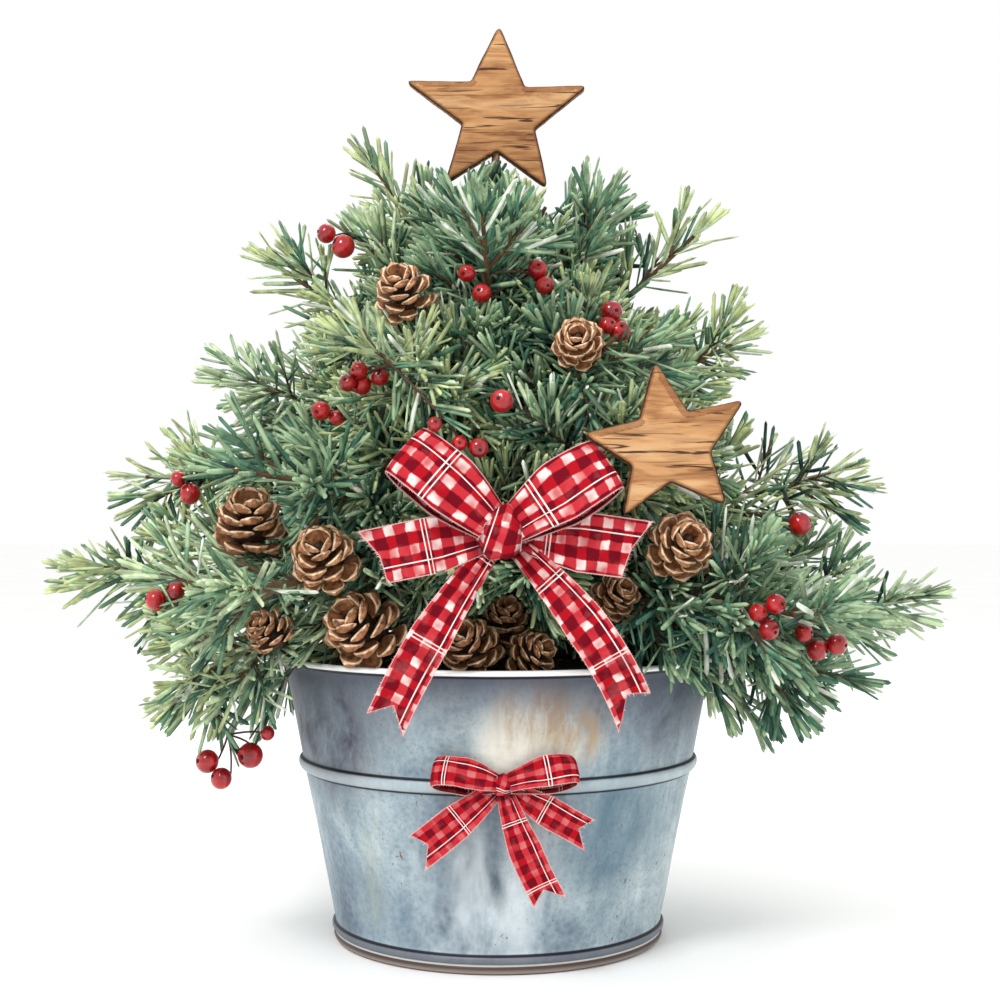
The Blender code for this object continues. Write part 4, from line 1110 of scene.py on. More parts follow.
def hanging_shoots():
    """Shoots that hang beside the bucket."""
    return [
        Shoot(curve(*(seen_at(x, y, depth) for x, y in places), 14), *HANGING_SHOOT)
        for depth, places in HANGING_SHOOTS
    ]


def dressed(stems):
    """Needled shoots along the stems that carry berries and cones."""
    return [Shoot(stem, *STALK_SHOOT) for stem in stems if path_length(stem) > DRESSED_STEM]


# ---------------------------------------------------------------- needles


def needle_template():
    """A needle's corners, its faces, and which of them belong to its tip."""
    rows, faces, tips = [], [], []
    last = (len(NEEDLE_RINGS) - 1) * 4
    for along, size in NEEDLE_RINGS:
        rows += [(along, y * size, z * size) for y, z in NEEDLE_CORNERS]
    rows.append((1.0, 0.0, 0.0))
    for start in range(0, last, 4):
        for k in range(4):
            a, b = start + k, start + (k + 1) % 4
            faces += [(a, b, b + 4), (a, b + 4, a + 4)]
            tips += [start > 0] * 2
    for k in range(4):
        faces.append((last + k, last + (k + 1) % 4, last + 4))
        tips.append(True)
    return np.array(rows), np.array(faces), np.array(tips)


class NeedleBed:
    """Collects needles, then turns them into arrays."""

    def __init__(self, blocked):
        self.blocked = blocked
        self.rows, self.tones = [], []

    def grow(self, shoot, hand, rng, spacing=1.0):
        points, frame = shoot.points, frames(shoot.points)
        steps = [0.0]
        for a, b in zip(points, points[1:]):
            steps.append(steps[-1] + (b - a).length)
        at = shoot.bare + rng.uniform(0, NEEDLE_STEP)
        turn = rng.uniform(0, 2 * math.pi)
        segment = 0
        first, last = NEEDLE_ANGLES
        while at < steps[-1]:
            while segment < len(steps) - 2 and steps[segment + 1] < at:
                segment += 1
            share = (at - steps[segment]) / max(1e-6, steps[segment + 1] - steps[segment])
            base = points[segment].lerp(points[segment + 1], share)
            tangent, side, up = frame[segment]
            near_tip = max(0.0, 1 - (steps[-1] - at) / TIP_PART)
            angle = first + (last - first) * near_tip ** 1.3 + rng.uniform(-0.12, 0.12)
            outwards = spun(side, up, turn)
            normal = crown_normal(base)
            outwards -= normal * outwards.dot(normal) * COMB
            outwards = (outwards - tangent * outwards.dot(tangent)).normalized()
            heading = spun(tangent, outwards, angle)
            heading.z += 0.01
            length = NEEDLE_LENGTH * shoot.needle * rng.uniform(0.80, 1.05)
            length *= 1 - 0.30 * near_tip
            length *= 0.72 + 0.28 * min(1.0, at / FOOT_PART)
            self.place(base, heading.normalized(), tangent, length, hand, rng)
            at += NEEDLE_STEP * spacing * rng.uniform(0.8, 1.2)
            turn += GOLDEN_ANGLE + rng.uniform(-0.25, 0.25)
        tangent, side, up = frame[-1]
        for number in range(4):  # a tuft at the tip
            turn = number * math.pi / 2 + rng.uniform(-0.4, 0.4)
            spread = rng.uniform(0.08, 0.24)
            heading = (tangent + spun(side, up, turn) * spread).normalized()
            length = NEEDLE_LENGTH * shoot.needle * rng.uniform(0.56, 0.66)
            self.place(points[-1], heading, tangent, length, hand, rng)

    def place(self, base, heading, tangent, length, hand, rng):
        wide = heading.cross(tangent)
        if wide.length < 0.02:
            wide = heading.orthogonal()
        wide = Matrix.Rotation(rng.uniform(-1.2, 1.2), 3, heading) @ wide.normalized()
        bend = tangent * rng.uniform(0.0, 0.10)
        if self.blocked(base, heading, length):
            return
        self.rows.append((*base, *heading, *wide, *bend, length))
        # painted light and shade: needles that point out of the crown's surface take the lighter
        # tones of the hand, those that point in the darker ones, spread at random
        light = 0.5 + 0.45 * heading.dot(crown_normal(base)) + rng.uniform(-0.55, 0.55)
        tone = hand[min(3, max(0, int(light * 4)))]
        self.tones.append(TONES.index("pale" if rng.random() < PALE_SHARE else tone))

    def arrays(self):
        rows = np.array(self.rows)
        base, heading, wide, bend, length = np.split(rows[:, None], (3, 6, 9, 12), axis=2)
        template, faces, tips = needle_template()
        along, y, z = np.split(template[None], 3, axis=2)
        grown = base + heading * along * length + bend * along ** 2 * length
        grown = grown + wide * y * (NEEDLE_WIDTH / 2)
        grown = grown + np.cross(heading, wide) * z * (NEEDLE_THICKNESS / 2)
        offset = np.arange(len(rows))[:, None, None] * len(template)
        tone = np.array(self.tones)[:, None]
        tip_tone = np.array([TONES.index(TIP_TONES[name]) for name in TONES])[tone]
        index = np.where(tips[None], tip_tone, tone).reshape(-1)
        return grown.reshape(-1, 3), (faces[None] + offset).reshape(-1, 3), index


# ---------------------------------------------------------------- stars


def star_outline(corners):
    """Points round a star, with rounded tips and softened waists, in the front plane."""
    corners = [Vector(corner) / 1000 for corner in corners]
    outline = []
    for i, corner in enumerate(corners):
        cut = STAR_WAIST_ROUND if i % 2 else STAR_TIP_ROUND
        start, end = (
            corner + (other - corner).normalized() * cut
            for other in (corners[i - 1], corners[(i + 1) % len(corners)])
        )
        outline += curve(start, corner, end, 4)
    return outline


def distance_to(outline, x, z):
    """How far a point lies from an outline, and how much the nearest edge faces up."""
    best, facing = 1.0, 0.0
    point = Vector((x, z))
    for a, b in zip(outline, outline[1:] + outline[:1]):
        along = b - a
        share = min(1.0, max(0.0, (point - a).dot(along) / along.length_squared))
        found = (point - a - along * share).length
        if found < best:
            best, facing = found, along.normalized().x  # the corners run clockwise
    return best, facing


def star_board(name, outline):
    """The board as it is cut, in voxels, with its edges a little softened."""
    shell = bmesh.new()
    front = shell.faces.new([shell.verts.new((p.x, -STAR_THICKNESS / 2, p.y)) for p in outline])
    made = bmesh.ops.extrude_face_region(shell, geom=[front], use_keep_orig=True)
    back = [item for item in made["geom"] if isinstance(item, bmesh.types.BMVert)]
    bmesh.ops.translate(shell, verts=back, vec=(0, STAR_THICKNESS, 0))
    bmesh.ops.recalc_face_normals(shell, faces=shell.faces)
    mesh = bpy.data.meshes.new(name)
    shell.to_mesh(mesh)
    shell.free()
    board = placed(name, mesh)
    remesh = board.modifiers.new("remesh", "REMESH")
    remesh.mode = "VOXEL"
    remesh.voxel_size = STAR_VOXEL
    soften = board.modifiers.new("soften", "SMOOTH")
    soften.iterations = 3
    bpy.context.view_layer.update()
    evaluated = board.evaluated_get(bpy.context.evaluated_depsgraph_get())
    board.data = bpy.data.meshes.new_from_object(evaluated)
    board.modifiers.clear()
    return board


def edge_mark(inwards, facing):
    """How dark the face of a star is, at a distance from its edge."""
    mark = max(0.0, 1 - inwards / STAR_WORN)
    if facing > 0.5:
        middle, half = STAR_LINE
        line = max(0.0, 1 - abs(inwards - middle) / half)
        mark = max(0.80 * line, 0.42 if inwards < middle else 0.0, mark * mark)
    return mark


def make_star(name, centre, corners, node, finish):
    """A hand-cut board star with worn edges and open grain."""
    outline = star_outline(corners)
    board = star_board(name, outline)
    edge = board.data.attributes.new("edge", "FLOAT", "POINT")
    marks = []
    reach, drop = STAR_CHAMFER
    for vertex in board.data.vertices:
        x, y, z = vertex.co
        inwards, facing = distance_to(outline, x, z)
        if abs(vertex.normal.y) < 0.6:  # round the side
            marks.append(0.62)
            vertex.co += vertex.normal * (noise.noise(vertex.co * 70) * 0.0004)
            continue
        marks.append(edge_mark(inwards, facing))
        vertex.co.y -= math.copysign(drop * max(0.0, 1 - inwards / reach), y)
        grain = noise.noise(Vector((x * 26, y * 60, z * 420 + 3 * noise.noise(vertex.co * 50))))
        vertex.co += vertex.normal * (0.00022 * min(0.0, grain + 0.12) * 3)
    edge.data.foreach_set("value", marks)
    board.data.transform(Matrix.Translation(centre))
    board.data.materials.append(finish)
    board.data.shade_smooth()
    return claimed(board, "wood", [node])


# ---------------------------------------------------------------- bows


class Cloth:
    """Strips of ribbon with thickness, their weave coordinates and frayed threads."""

    def __init__(self):
        self.vertices, self.faces, self.uvs, self.edges, self.dusks = [], [], [], [], []
        self.threads = Bundle()

    def strip(self, place, width, length, rows, dusk, phase=0.0, notch=0.0, columns=13, slant=0.0):
        """place(u, t) gives the point of the ribbon at u from -1 to 1 across and t from 0 to
        1 along it, and its other function, of u and t too, how dark the shade painted on the
        cloth is there. With a notch its end is cut back in the middle, and frays."""
        across = [-1 + 2 * j / (columns - 1) for j in range(columns)]
        ends = [1 - (notch * (1 - abs(u)) + slant * (u + 1) / 2) / length for u in across]
        grid = [[place(u, i / rows * end) for u, end in zip(across, ends)] for i in range(rows + 1)]
        normals = self.normals(grid)
        first, size = len(self.vertices), (rows + 1) * columns
        for side in (1, -1):
            for i in range(rows + 1):
                for j, (u, end) in enumerate(zip(across, ends)):
                    lift = normals[i][j] * (side * RIBBON_THICKNESS / 2)
                    self.vertices.append(grid[i][j] + lift)
                    self.uvs.append((u * width / 2, i / rows * end * length + phase))
                    left = (1 - i / rows) * length * 2 / width if notch else 1.0
                    self.edges.append(max(abs(u), 1 - left))
                    self.dusks.append(max(0.0, min(0.9, dusk(u, i / rows))))
        for i in range(rows):
            for a in range(first + i * columns, first + (i + 1) * columns - 1):
                b, c, d = a + 1, a + columns + 1, a + columns
                self.faces += [(a, b, c, d), (d + size, c + size, b + size, a + size)]
        self.rim(first, size, rows, columns)
        self.fray(grid, normals, notch > 0)

    def rim(self, first, size, rows, columns):
        """Faces round the edge, between the two sides of the ribbon."""
        last = rows * columns
        loop = [*range(0, last + 1, columns), *range(last + 1, last + columns)]
        loop += [*range(last - 1, columns - 2, -columns), *range(columns - 2, 0, -1)]
        for a, b in zip(loop, loop[1:] + loop[:1]):
            a, b = a + first, b + first
            self.faces.append((b, a, a + size, b + size))

    @staticmethod
    def normals(grid):
        rows, columns = len(grid), len(grid[0])

        def normal(i, j):
            ahead = grid[min(i + 1, rows - 1)][j] - grid[max(i - 1, 0)][j]
            across = grid[i][min(j + 1, columns - 1)] - grid[i][max(j - 1, 0)]
            return across.cross(ahead).normalized()

        return [[normal(i, j) for j in range(columns)] for i in range(rows)]

    def fray(self, grid, normals, fray_end):
        """Threads that stand out of both edges, and of a cut end."""
        rng = random.Random(len(self.vertices))
        rows, columns = len(grid) - 1, len(grid[0])
        for i in range(rows):
            for j, inner in ((0, 1), (columns - 1, columns - 2)):
                outwards = grid[i][j] - grid[i][inner]
                self.row(grid[i][j], grid[i + 1][j], outwards, normals[i][j], 0, rng)
        for j in range(columns - 1 if fray_end else 0):
            outwards = grid[rows][j] - grid[rows - 1][j]
            self.row(grid[rows][j], grid[rows][j + 1], outwards, normals[rows][j], 1, rng)

    def row(self, start, end, outwards, normal, kind, rng):
        """Threads from start to end. kind is 0 along an edge and 1 along an end."""
        outwards = outwards.normalized()
        count = max(1, round((end - start).length / THREAD_STEPS[kind]))
        for k in range(count):
            root = start.lerp(end, (k + rng.random()) / count)
            length = rng.uniform(*THREAD_LENGTHS[kind])
            lean = normal * rng.uniform(-0.25, 0.25)
            aim = outwards + lean + outwards.cross(normal) * rng.uniform(-0.5, 0.5)
            root = root - outwards * 0.0004
            self.threads.add(*tube([root, root + aim * length], (0.00022, 0.0001), 3))

    def pieces(self, node, finish, thread):
        name = node + "_ribbon"
        vertices = np.array([tuple(v) for v in self.vertices])
        made = add_piece(name, vertices, self.faces, [finish], slot="ribbon", nodes=[node])
        layer = made.data.uv_layers.new(name="weave")
        corners = np.array(self.faces).ravel()
        layer.uv.foreach_set("vector", np.array(self.uvs, np.float32)[corners].ravel())
        # the second mark is the painted shade that the ribbon's finish lays on
        for mark, values in (("edge", self.edges), ("dusk", self.dusks)):
            layer = made.data.attributes.new(mark, "FLOAT", "POINT")
            layer.data.foreach_set("value", np.array(values, np.float32))
        made.data.set_sharp_from_angle(angle=math.radians(50))
        self.threads.piece(name + "_threads", [thread], slot="ribbon")
        return made


def pleats(fold, u, share):
    """How far the ribbon's pleats lift it where it is gathered."""
    return fold * (1 - min(1.0, share)) * math.cos(u * 2.6 * math.pi)


def bow_loop(cloth, centre, degrees, length, width, depth, tilt, fold, phase):
    """A loop of ribbon: out from the knot in front, round its end, and back behind."""
    turn, lean = math.radians(degrees), math.radians(tilt)
    along = Vector((math.cos(turn), 0, math.sin(turn)))
    across = Vector((-math.sin(turn), 0, math.cos(turn)))
    half, away = spun(across, FRONT, lean), spun(FRONT, -across, lean)
    path = 2.15 * length

    def place(u, t):
        angle = math.pi * (0.06 + 1.86 * t)
        in_front = angle < math.pi
        out = length * (0.5 - 0.5 * math.cos(angle))
        share = out / length
        lift = depth * math.sin(angle) * (0.30 + 0.70 * share ** 0.7)
        lift *= 1 if in_front else LOOP_BACK
        spread = 0.46 + 0.54 * min(1.0, share * 1.9) ** 0.8 - LOOP_CORNER * share ** 7
        gather = pleats(fold, u, share * 1.3) * (1 if in_front else 0.3)
        crown = 0.0016 * (1 - u * u) * (1 if t < 0.5 else -1)
        ripple = 0.0010 * math.sin(9 * share + 2.2 * u + phase * 40)
        return (centre + along * (out - 0.0016 * u ** 4 * share ** 3)
                + half * (u * width / 2 * spread) + away * (lift + gather + crown + ripple))

    # painted shade: near the knot, on the inside of the loop's back run, and at its edges by the
    # knot
    def dusk(u, t):
        knot = 1 - min(t, 1 - t) * path / (width * KNOT_SHADE)
        inside = 0.62 if t > 0.53 else 0.0
        return max(knot, inside, 0.75 * (abs(u) > 0.98) * (t < 0.05))

    cloth.strip(place, width, path, 44, dusk, phase)


def bow_tail(cloth, centre, end, width, swing, notch, fold, phase, slant, wave=0.0015, sag=0.0,
             side=0.0):
    """A tail of ribbon from the knot to an end with a notched cut. side bends its course in
    the front plane, and slant shortens the edge on that side of the end."""
    target = centre + Vector(end)
    bend = (centre + target) / 2 + FRONT * swing + UP * sag + Vector((side, 0, 0))
    length = path_length(curve(centre, bend, target, 20))

    def place(u, t):
        ahead = ((bend - centre) * (1 - t) + (target - bend) * t).normalized()
        across = ahead.cross(FRONT).normalized()
        away = across.cross(ahead).normalized()
        spread = 0.34 + 0.66 * min(1.0, t * 1.9) ** 0.8
        ripple = wave * math.sin(11 * t + 1.4 * u + phase * 50) * min(1.0, t * 2)
        lift = pleats(fold, u, t * 1.8) + ripple + 0.0018 * u * u * t
        return bent(centre, bend, target, t) + across * (u * width / 2 * spread) + away * lift

    # painted shade near the knot
    def dusk(u, t):
        return 1 - (t * length - width * 0.20) / (width * KNOT_SHADE * 1.4)

    cloth.strip(place, width, length, 34, dusk, phase, notch, slant=slant)


def bow_knot(cloth, centre, sizes, phase):
    """The band that is wound round the middle of a bow, pulled a little askew."""
    twist = Matrix.Rotation(math.radians(16), 3, "Y")
    first_turn = 0.4

    def place(u, t):
        turn = 2 * math.pi * t + first_turn
        crease = 0.06 * math.sin(2 * turn + 3.0 * u) + 0.04 * math.sin(8 * u + 2 * turn)
        reach = math.cos(u * 1.32) ** 0.55 * (1 + crease)
        x = u * sizes.x * (0.94 - 0.10 * math.sin(turn))
        y = -math.cos(turn) * sizes.y * 1.1 * reach
        return centre + twist @ Vector((x, y, math.sin(turn) * sizes.z * reach))

    # painted shade at the knot's sides and where it turns over above and below
    def dusk(u, t):
        turn = 2 * math.pi * t + first_turn
        return (abs(u) - 0.62) * 1.9 + max(0.0, abs(math.sin(turn)) - 0.86) * 4

    cloth.strip(place, sizes.x * 2.2, math.pi * (sizes.y + sizes.z), 40, dusk, phase, columns=17)


def make_large_bow(thread):
    cloth = Cloth()
    centre, fold = BOW_CENTRE, 0.0022
    tails = (  # end, width, phase and slant, and which side its course bends to
        ((-0.0712, 0.004, -0.1165), 0.0255, 0.031, 0.005, -0.010),
        ((0.0765, 0.004, -0.101), 0.0265, 0.012, -0.016, 0.016),
    )
    for end, width, phase, slant, side in tails:
        bow_tail(cloth, centre - FRONT * 0.0085, end, width, 0.016, 0.013, fold, phase, slant,
                 side=side)
    ears = (
        ((-0.0720, 0.000, -0.0135), 0.034, 0.003, -0.010),
        ((0.087, 0.000, -0.011), 0.036, 0.021, 0.014),
    )
    for end, width, phase, slant in ears:
        bow_tail(cloth, centre - FRONT * 0.0065, end, width, 0.006, 0.003, fold * 0.5, phase, slant,
                 sag=0.001)
    for degrees, length, tilt, phase in ((140, 0.078, 15, 0.0), (33, 0.076, -15, 0.017)):
        bow_loop(cloth, centre, degrees, length, BOW_RIBBON * 0.94, 0.0130, tilt, fold, phase)
    bow_knot(cloth, centre + FRONT * 0.003, BOW_KNOT, 0.002)
    return cloth.pieces("bow_large", ribbon_finish("check_ribbon", CHECK), thread)


def make_small_bow(thread):
    cloth = Cloth()
    stand_off = wall_radius(BAND_HEIGHT) + BAND_BULGE + GAP
    centre = Vector((0.003, -stand_off - SMALL_KNOT.y, BAND_HEIGHT + 0.004))
    width, fold = SMALL_RIBBON, 0.0009
    tails = (  # end, width over the ribbon's, notch, phase, slant and side
        ((-0.054, -0.002, -0.043), 1.15, 0.008, 0.0, 0.006, 0.0),
        ((0.051, 0.002, -0.030), 0.98, 0.007, 0.004, -0.004, 0.0),
        ((0.030, -0.002, -0.073), 1.05, 0.008, 0.009, 0.004, -0.005),
    )
    for end, share, notch, phase, slant, side in tails:
        bow_tail(cloth, centre - FRONT * 0.002, end, width * share, 0.006, notch, fold, phase,
                 slant, 0.0008, side=side)
    for degrees, length, tilt, phase in ((170, 0.044, 30, 0.0), (11, 0.047, -30, 0.006)):
        bow_loop(cloth, centre, degrees, length, width, 0.0105, tilt, fold, phase)
    bow_knot(cloth, centre + FRONT * 0.001, SMALL_KNOT, 0.001)
    finish = ribbon_finish("small_check_ribbon", CHECK * 0.70, 0.20)
    return cloth.pieces("bow_small", finish, thread)


# ---------------------------------------------------------------- cones


def scale_part(ring, turn):
    """The finish of one face of a scale: 0 its dark inside, partly painted shade in the crevices,
    1 its brown back and face, and 2 the pale edge of its lip on its upper side, partly a painted
    highlight."""
    upper = math.sin(turn) > 0.05
    if ring < 1 or (ring < 3 and not upper):
        return 0
    if ring >= 4:
        return 2 if upper else 1
    return 2 if ring > 1 and abs(math.cos(turn)) > 0.92 else 1


def scale_template():
    """One woody scale: a spoon with a thick round lip, brown with a pale edge."""
    rows, kinds = [], []
    for along, wide, thick in SCALE_RINGS:
        for k in range(SCALE_SIDES):
            turn = 2 * math.pi * k / SCALE_SIDES
            y, z = math.cos(turn), math.sin(turn)
            cup = 0.20 * y * y * wide + 0.20 * max(0.0, along - 0.5) ** 2
            rows.append((along - 0.10 * y * y * along, y * wide, z * thick + cup))
    faces = grid_faces(len(SCALE_RINGS), SCALE_SIDES)
    for ring in range(len(SCALE_RINGS) - 1):
        for k in range(SCALE_SIDES):
            kinds += [scale_part(ring, 2 * math.pi * (k + 0.5) / SCALE_SIDES)] * 2
    last = len(rows)
    rows.append((1.06, 0.0, 0.05))
    for k in range(SCALE_SIDES):
        faces.append((last - SCALE_SIDES + k, last - SCALE_SIDES + (k + 1) % SCALE_SIDES, last))
        kinds.append(1)
    return np.array(rows), np.array(faces), np.array(kinds)


def add_cone(bundle, centre, radius, heading, seed, openness=1.0):
    """A pine cone: open woody scales in a spiral round a core."""
    rng = random.Random(seed)
    axis = Vector(heading).normalized()
    side = axis.orthogonal().normalized()
    up = axis.cross(side)
    template, faces, kinds = scale_template()
    core = [centre + axis * radius * share for share, _ in CONE_CORE]
    bundle.add(*tube(core, [radius * size for _, size in CONE_CORE], 10))
    for number in range(SCALES):
        share = (number + 0.5) / SCALES
        outwards = spun(side, up, number * GOLDEN_ANGLE + rng.uniform(-0.12, 0.12))
        rise = math.radians(-6 + 74 * share ** 0.9) + (1 - openness) * 0.7 * (1 - share)
        aim = spun(outwards, axis, rise + rng.uniform(-0.10, 0.10))
        swell = math.sin(math.pi * (0.30 + 0.56 * share)) ** 0.8
        size = radius * (0.48 + 0.34 * swell) * rng.uniform(0.92, 1.08)
        foot = centre + axis * radius * (-0.74 + 1.02 * share ** 0.9)
        foot += outwards * radius * 0.15 * swell
        wide = aim.cross(axis)
        wide = wide.normalized() if wide.length > 0.05 else side
        wide = Matrix.Rotation(rng.uniform(-0.2, 0.2), 3, aim) @ wide
        normal = wide.cross(aim).normalized()
        if normal.dot(axis) < 0:
            normal = -normal
        breadth = radius * (0.26 + 0.34 * swell)
        basis = np.array([tuple(aim * size), tuple(wide * breadth), tuple(normal * radius * 0.60)])
        bundle.add(template @ basis + np.array(foot), faces, kinds)


def make_cones():
    """The cones that lie on the soil, and those wired into the crown."""
    finishes = [
        # the inside finish is partly painted shade, and the end finish partly a painted highlight
        scale_finish("scale_inside", (30, 17, 11), (48, 28, 18), (76, 46, 28)),
        scale_finish("scale_body", (84, 50, 28), (146, 94, 56), (188, 132, 88)),
        scale_finish("scale_end", (166, 122, 84), (218, 184, 148), (244, 224, 198)),
    ]
    lying, wired = Bundle(), Bundle()
    for name, (heading, radius, shift) in LYING_CONES.items():
        low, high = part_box(name)
        add_cone(lying, (low + high) / 2 + Vector(shift), radius, heading, name)
    for number, (centre, radius, heading, openness) in enumerate(WIRED_CONES):
        add_cone(wired, Vector(centre), radius, heading, number, openness)
    resting = lying.piece("cones_on_soil", finishes, slot="cone", nodes=LYING_CONES)
    return [resting, wired.piece("cones_in_crown", finishes, slot="cone")]


def nearest_stem(sprays, place):
    points = [point for spray in sprays for point in spray.fine_points[8::2]]
    return min(points, key=lambda point: (point - place).length)


def make_wires(sprays):
    """Short wires from the cones in the crown to the stems that hold them."""
    bundle, stems = Bundle(), []
    for centre, radius, heading, _ in WIRED_CONES:
        foot = Vector(centre) - Vector(heading).normalized() * radius * 0.9
        anchor = nearest_stem(sprays, foot)
        bend = (foot + anchor) / 2 - UP * 0.003
        bundle.add(*tube(curve(foot, bend, anchor, 8), (WIRE_RADIUS, WIRE_RADIUS), 6))
        stems.append(curve(anchor, bend, foot, 8))
    bundle.piece("cone_wires", [dark_finish("wire", (42, 34, 26), (74, 60, 44), 0.6)])
    return stems


# ---------------------------------------------------------------- berries


def berry_places():
    """The berries' middles and radii, cluster by cluster."""
    clusters = []
    for depth, berries in FRONT_BERRIES:
        rng = random.Random(str(berries))
        clusters.append([
            (seen_at(x, y, depth + rng.uniform(-0.004, 0.004)), radius * pixel_size(depth))
            for x, y, radius in berries
        ])
    for number, centre in enumerate(HIDDEN_BERRIES):
        rng = random.Random(number)
        cluster, count = [], 2 + number % 2
        for k in range(count):
            turn = 2 * math.pi * k / count + rng.random()
            offset = Vector((math.cos(turn), 0.2, math.sin(turn))) * HIDDEN_BERRY_RADIUS * 1.05
            cluster.append((Vector(centre) + offset, HIDDEN_BERRY_RADIUS * rng.uniform(0.9, 1.1)))
        clusters.append(cluster)
    return clusters


def make_berries(clusters, anchors):
    """Berries with a dark calyx, and the stalks that hold them."""
    skins, eyes, stalks, stems = Bundle(), Bundle(), Bundle(), []
    ball, ball_faces = ball_shape(bmesh.ops.create_uvsphere, u_segments=24, v_segments=14)
    ball[ball[:, 2] > 0.955, 2] -= 0.10  # the dimple
    ball *= (1.0, 1.0, 0.95)
    for cluster, anchor in zip(clusters, anchors):
        middle = sum((place for place, _ in cluster), Vector()) / len(cluster)
        away = anchor - middle
        fork = middle + away * min(0.55, FORK_REACH / max(away.length, 1e-6)) + UP * 0.003
        stem = curve(anchor, (anchor + fork) / 2 + UP * 0.001, fork, 8)
        stalks.add(*tube(stem, (0.0011, 0.0009), 6))
        stems.append(stem)
        for place, radius in cluster:
            rng = random.Random(f"{place.x:.4f}")
            outwards = Vector((place.x, place.y, 0)).normalized()
            lean = Vector((rng.uniform(-0.5, 0.5), 0, rng.uniform(-0.3, 0.5)))
            aim = (outwards + lean).normalized()
            turned = aim.to_track_quat("Z", "X").to_matrix()
            skins.add((ball * radius) @ np.array(turned).T + np.array(place), ball_faces)
            for k in range(5):
                leaf = around_z(2 * math.pi * k / 5) * 0.19
                ends = [turned @ (p * radius) + place for p in (UP * 0.84, leaf + UP * 0.92)]
                eyes.add(*tube(ends, (radius * 0.13, radius * 0.02), 4))
            back = place - aim * radius * 0.9
            path = curve(fork, (fork + back) / 2 + UP * 0.004 - outwards * 0.003, back, 6)
            stalks.add(*tube(path, (0.0008, 0.0006), 6))
    made = skins.piece("berries", [berry_finish()])
    eyes.piece("berry_eyes", [dark_finish("calyx", (26, 12, 10), (52, 24, 18))])
    stalks.piece("berry_stalks", [dark_finish("stalk", (48, 30, 24), (88, 58, 42))])
    return made, stems


# ---------------------------------------------------------------- foliage


def tree_of(objects):
    """One search tree over the meshes of several pieces."""
    vertices, faces = [], []
    for obj in objects:
        first = len(vertices)
        vertices += [v.co.copy() for v in obj.data.vertices]
        faces += [[index + first for index in p.vertices] for p in obj.data.polygons]
    return BVHTree.FromPolygons(vertices, faces)


def in_sky(place):
    size = pixel_size(place.y)
    pixel_x = AXIS_PIXEL + place.x / size
    pixel_y = HORIZON_PIXEL - (place.z - CAMERA_HEIGHT) / size
    return any(
        ((pixel_x - x) / half_width) ** 2 + ((pixel_y - y) / half_height) ** 2 < 1
        for x, y, half_width, half_height in SKY
    )


class Keeper:
    """Says where twigs and needles may grow."""

    def __init__(self, broad, small, rest):
        self.broad, self.small = tree_of(broad), tree_of(small)
        self.all = (self.broad, self.small, tree_of(rest))

    def clear(self, points):
        """The first part of a twig's path that keeps off the ornaments."""
        for i, point in enumerate(points[1:], 1):
            near = any(tree.find_nearest(point, TWIG_CLEARANCE)[0] for tree in self.all)
            if near or self.hides(point) or in_sky(point):
                return points[: max(0, i - 2)]
        return points

    def hides(self, point):
        """True if something at this point would stand before an ornament."""
        away = (point - EYES[0 if point.y < 0 else 1]).normalized()
        if self.broad.ray_cast(point, away, SHOWN_DEPTH)[0] is not None:
            return True
        found = self.small.ray_cast(point, away, SMALL_SHOWN_DEPTH)[0]
        return found is not None and found.y * point.y > 0

    def blocked(self, base, heading, length):
        """True if a needle would run into something, or stand before it or in the sky."""
        if in_sky(base + heading * length * 0.6):
            return True
        if any(tree.ray_cast(base, heading, length + 0.001)[0] is not None for tree in self.all):
            return True
        return any(self.hides(base + heading * length * share) for share in (0.35, 0.7, 1.0))


def make_foliage(sprays, keeper, others):
    """Needles and twigs, a piece of each for a tier. others are the shoots apart."""
    finishes = [needle_finish(name, colour) for name, colour in NEEDLE_TONES.items()]
    bark = twig_finish()
    for row, tier in enumerate(TIERS):
        bed, twigs, nodes = NeedleBed(keeper.blocked), Bundle(), []
        for number, spray in enumerate([s for s in sprays if s.tier == tier]):
            rng = random.Random("needles " + spray.name)
            # every other inner spray takes the darkest hand, as painted shade inside the crown
            hand = HANDS[0 if spray.inner and number % 2 else (number * 2 + row) % len(HANDS)]
            for shoot in spray.shoots(keeper.clear):
                bed.grow(shoot, hand, rng, 1.0 if spray.inner else OUTER_STEP)
                points = shoot.points[:: 2 if len(shoot.points) > 24 else 1]
                twigs.add(*tube(points, shoot.radii, 7 if shoot.rank == 0 else 5))
            if not spray.inner:
                nodes.append("needles_" + spray.name)
        if tier == "leader":
            rng = random.Random("other shoots")
            for shoot in others:
                bed.grow(shoot, HANDS[1], rng)
                twigs.add(*tube(shoot.points, shoot.radii, 5))
        vertices, faces, index = bed.arrays()
        add_piece("foliage_" + tier, vertices, faces, finishes, index, soft=False,
                  slot="needles", nodes=nodes)
        twigs.piece("twigs_" + tier, [bark], slot="bark")


# ---------------------------------------------------------------- studio


def aimed(made, place, target):
    """Puts a lamp or the camera at a place, facing a target."""
    made.location = place
    made.rotation_euler = (target - Vector(place)).to_track_quat("-Z", "Y").to_euler()
    return made


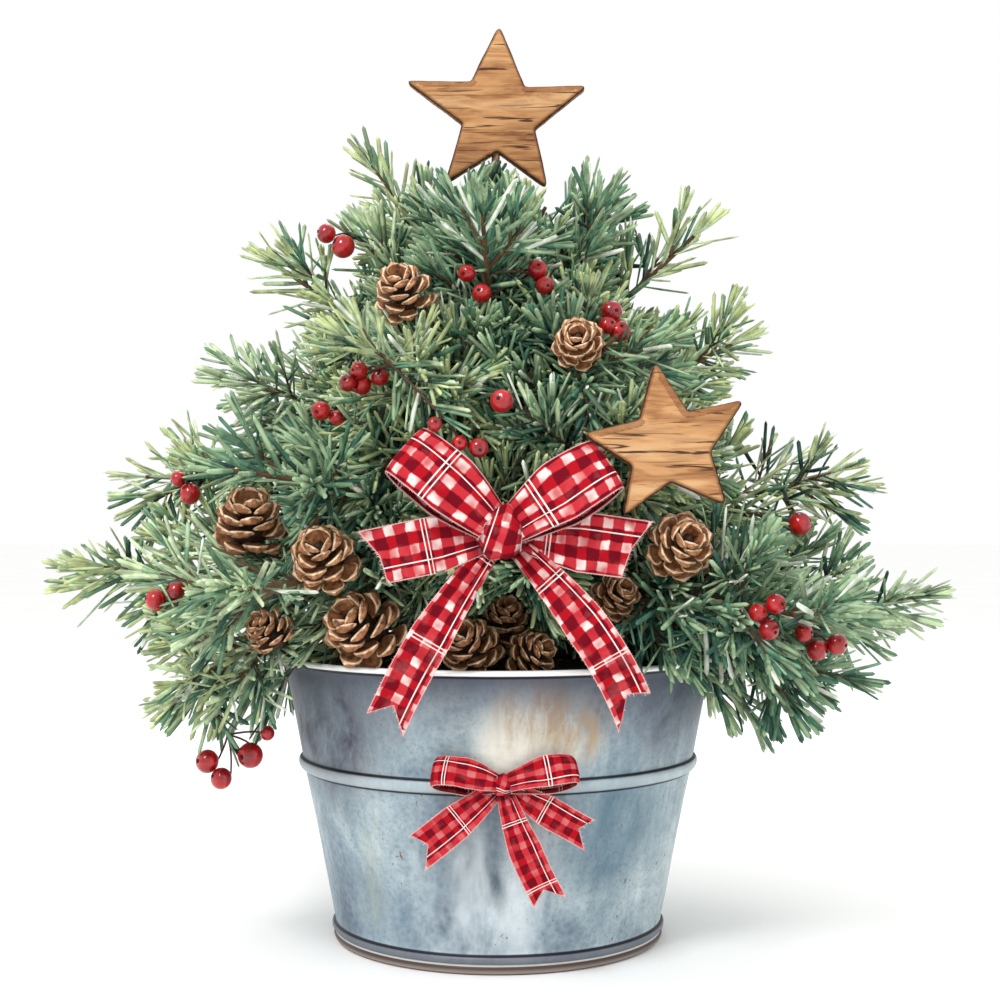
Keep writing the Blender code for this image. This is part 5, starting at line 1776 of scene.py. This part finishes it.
def make_studio():
    world = bpy.data.worlds.new("studio")
    world.use_nodes = True
    background = world.node_tree.nodes["Background"]
    background.inputs["Color"].default_value = (1.0, 1.0, 1.0, 1)
    background.inputs["Strength"].default_value = 1.0
    scene = bpy.context.scene
    scene.world = world
    scene.view_settings.view_transform = "Standard"

    half = 20.0
    mesh = bpy.data.meshes.new("floor")
    corners = [(-half, -half, 0), (half, -half, 0), (half, half, 0), (-half, half, 0)]
    mesh.from_pydata(corners, [], [(0, 1, 2, 3)])
    stops = ((0.4, (252, 252, 251)), (0.6, (254, 254, 253)))
    mesh.materials.append(clouded("pale_floor", 0.9, (3, 2), stops))
    placed("floor", mesh)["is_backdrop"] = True

    lamps = (
        ("key", (-0.85, -1.45, 1.75), 0.55, 27.0),
        ("fill", (1.3, -1.2, 0.8), 1.2, 3.0),
        ("top", (0.2, 0.9, 1.7), 1.0, 8.0),
    )
    for name, place, size, power in lamps:
        light = bpy.data.lights.new(name, "AREA")
        light.size = size
        light.energy = power
        aimed(placed(name, light), place, Vector((0, 0, 0.3)))

    camera = bpy.data.cameras.new("camera")
    camera.sensor_width = SENSOR
    camera.lens = SENSOR * CAMERA_DISTANCE / PICTURE_WIDTH
    place = (CAMERA_AIM.x, -CAMERA_DISTANCE, CAMERA_HEIGHT)
    scene.camera = aimed(placed("camera", camera), place, CAMERA_AIM)


# ---------------------------------------------------------------- assembly


def main():
    thread, wood = thread_finish(), wood_finish()
    bucket, soil = make_bucket(), make_soil()
    stars = [
        make_star("star_top_board", TOP_STAR_CENTRE, TOP_STAR_CORNERS, "star_top", wood),
        make_star("star_side_board", SIDE_STAR_CENTRE, SIDE_STAR_CORNERS, "star_side", wood),
    ]
    bows = [make_large_bow(thread), make_small_bow(thread)]
    sprays = all_sprays()
    trunk = make_limbs(sprays)
    cones = make_cones()
    stems = make_wires(sprays)
    clusters = berry_places()
    anchors = [nearest_stem(sprays, cluster[0][0]) for cluster in clusters]
    berries, stalks = make_berries(clusters, anchors)
    keeper = Keeper(stars + bows, [*cones, berries], [bucket, soil, trunk])
    make_foliage(sprays, keeper, top_shoots() + hanging_shoots() + dressed(stems + stalks))
    make_studio()
    lists = [[list(corner) for corner in box] for box in (cad_box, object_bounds())]


main()
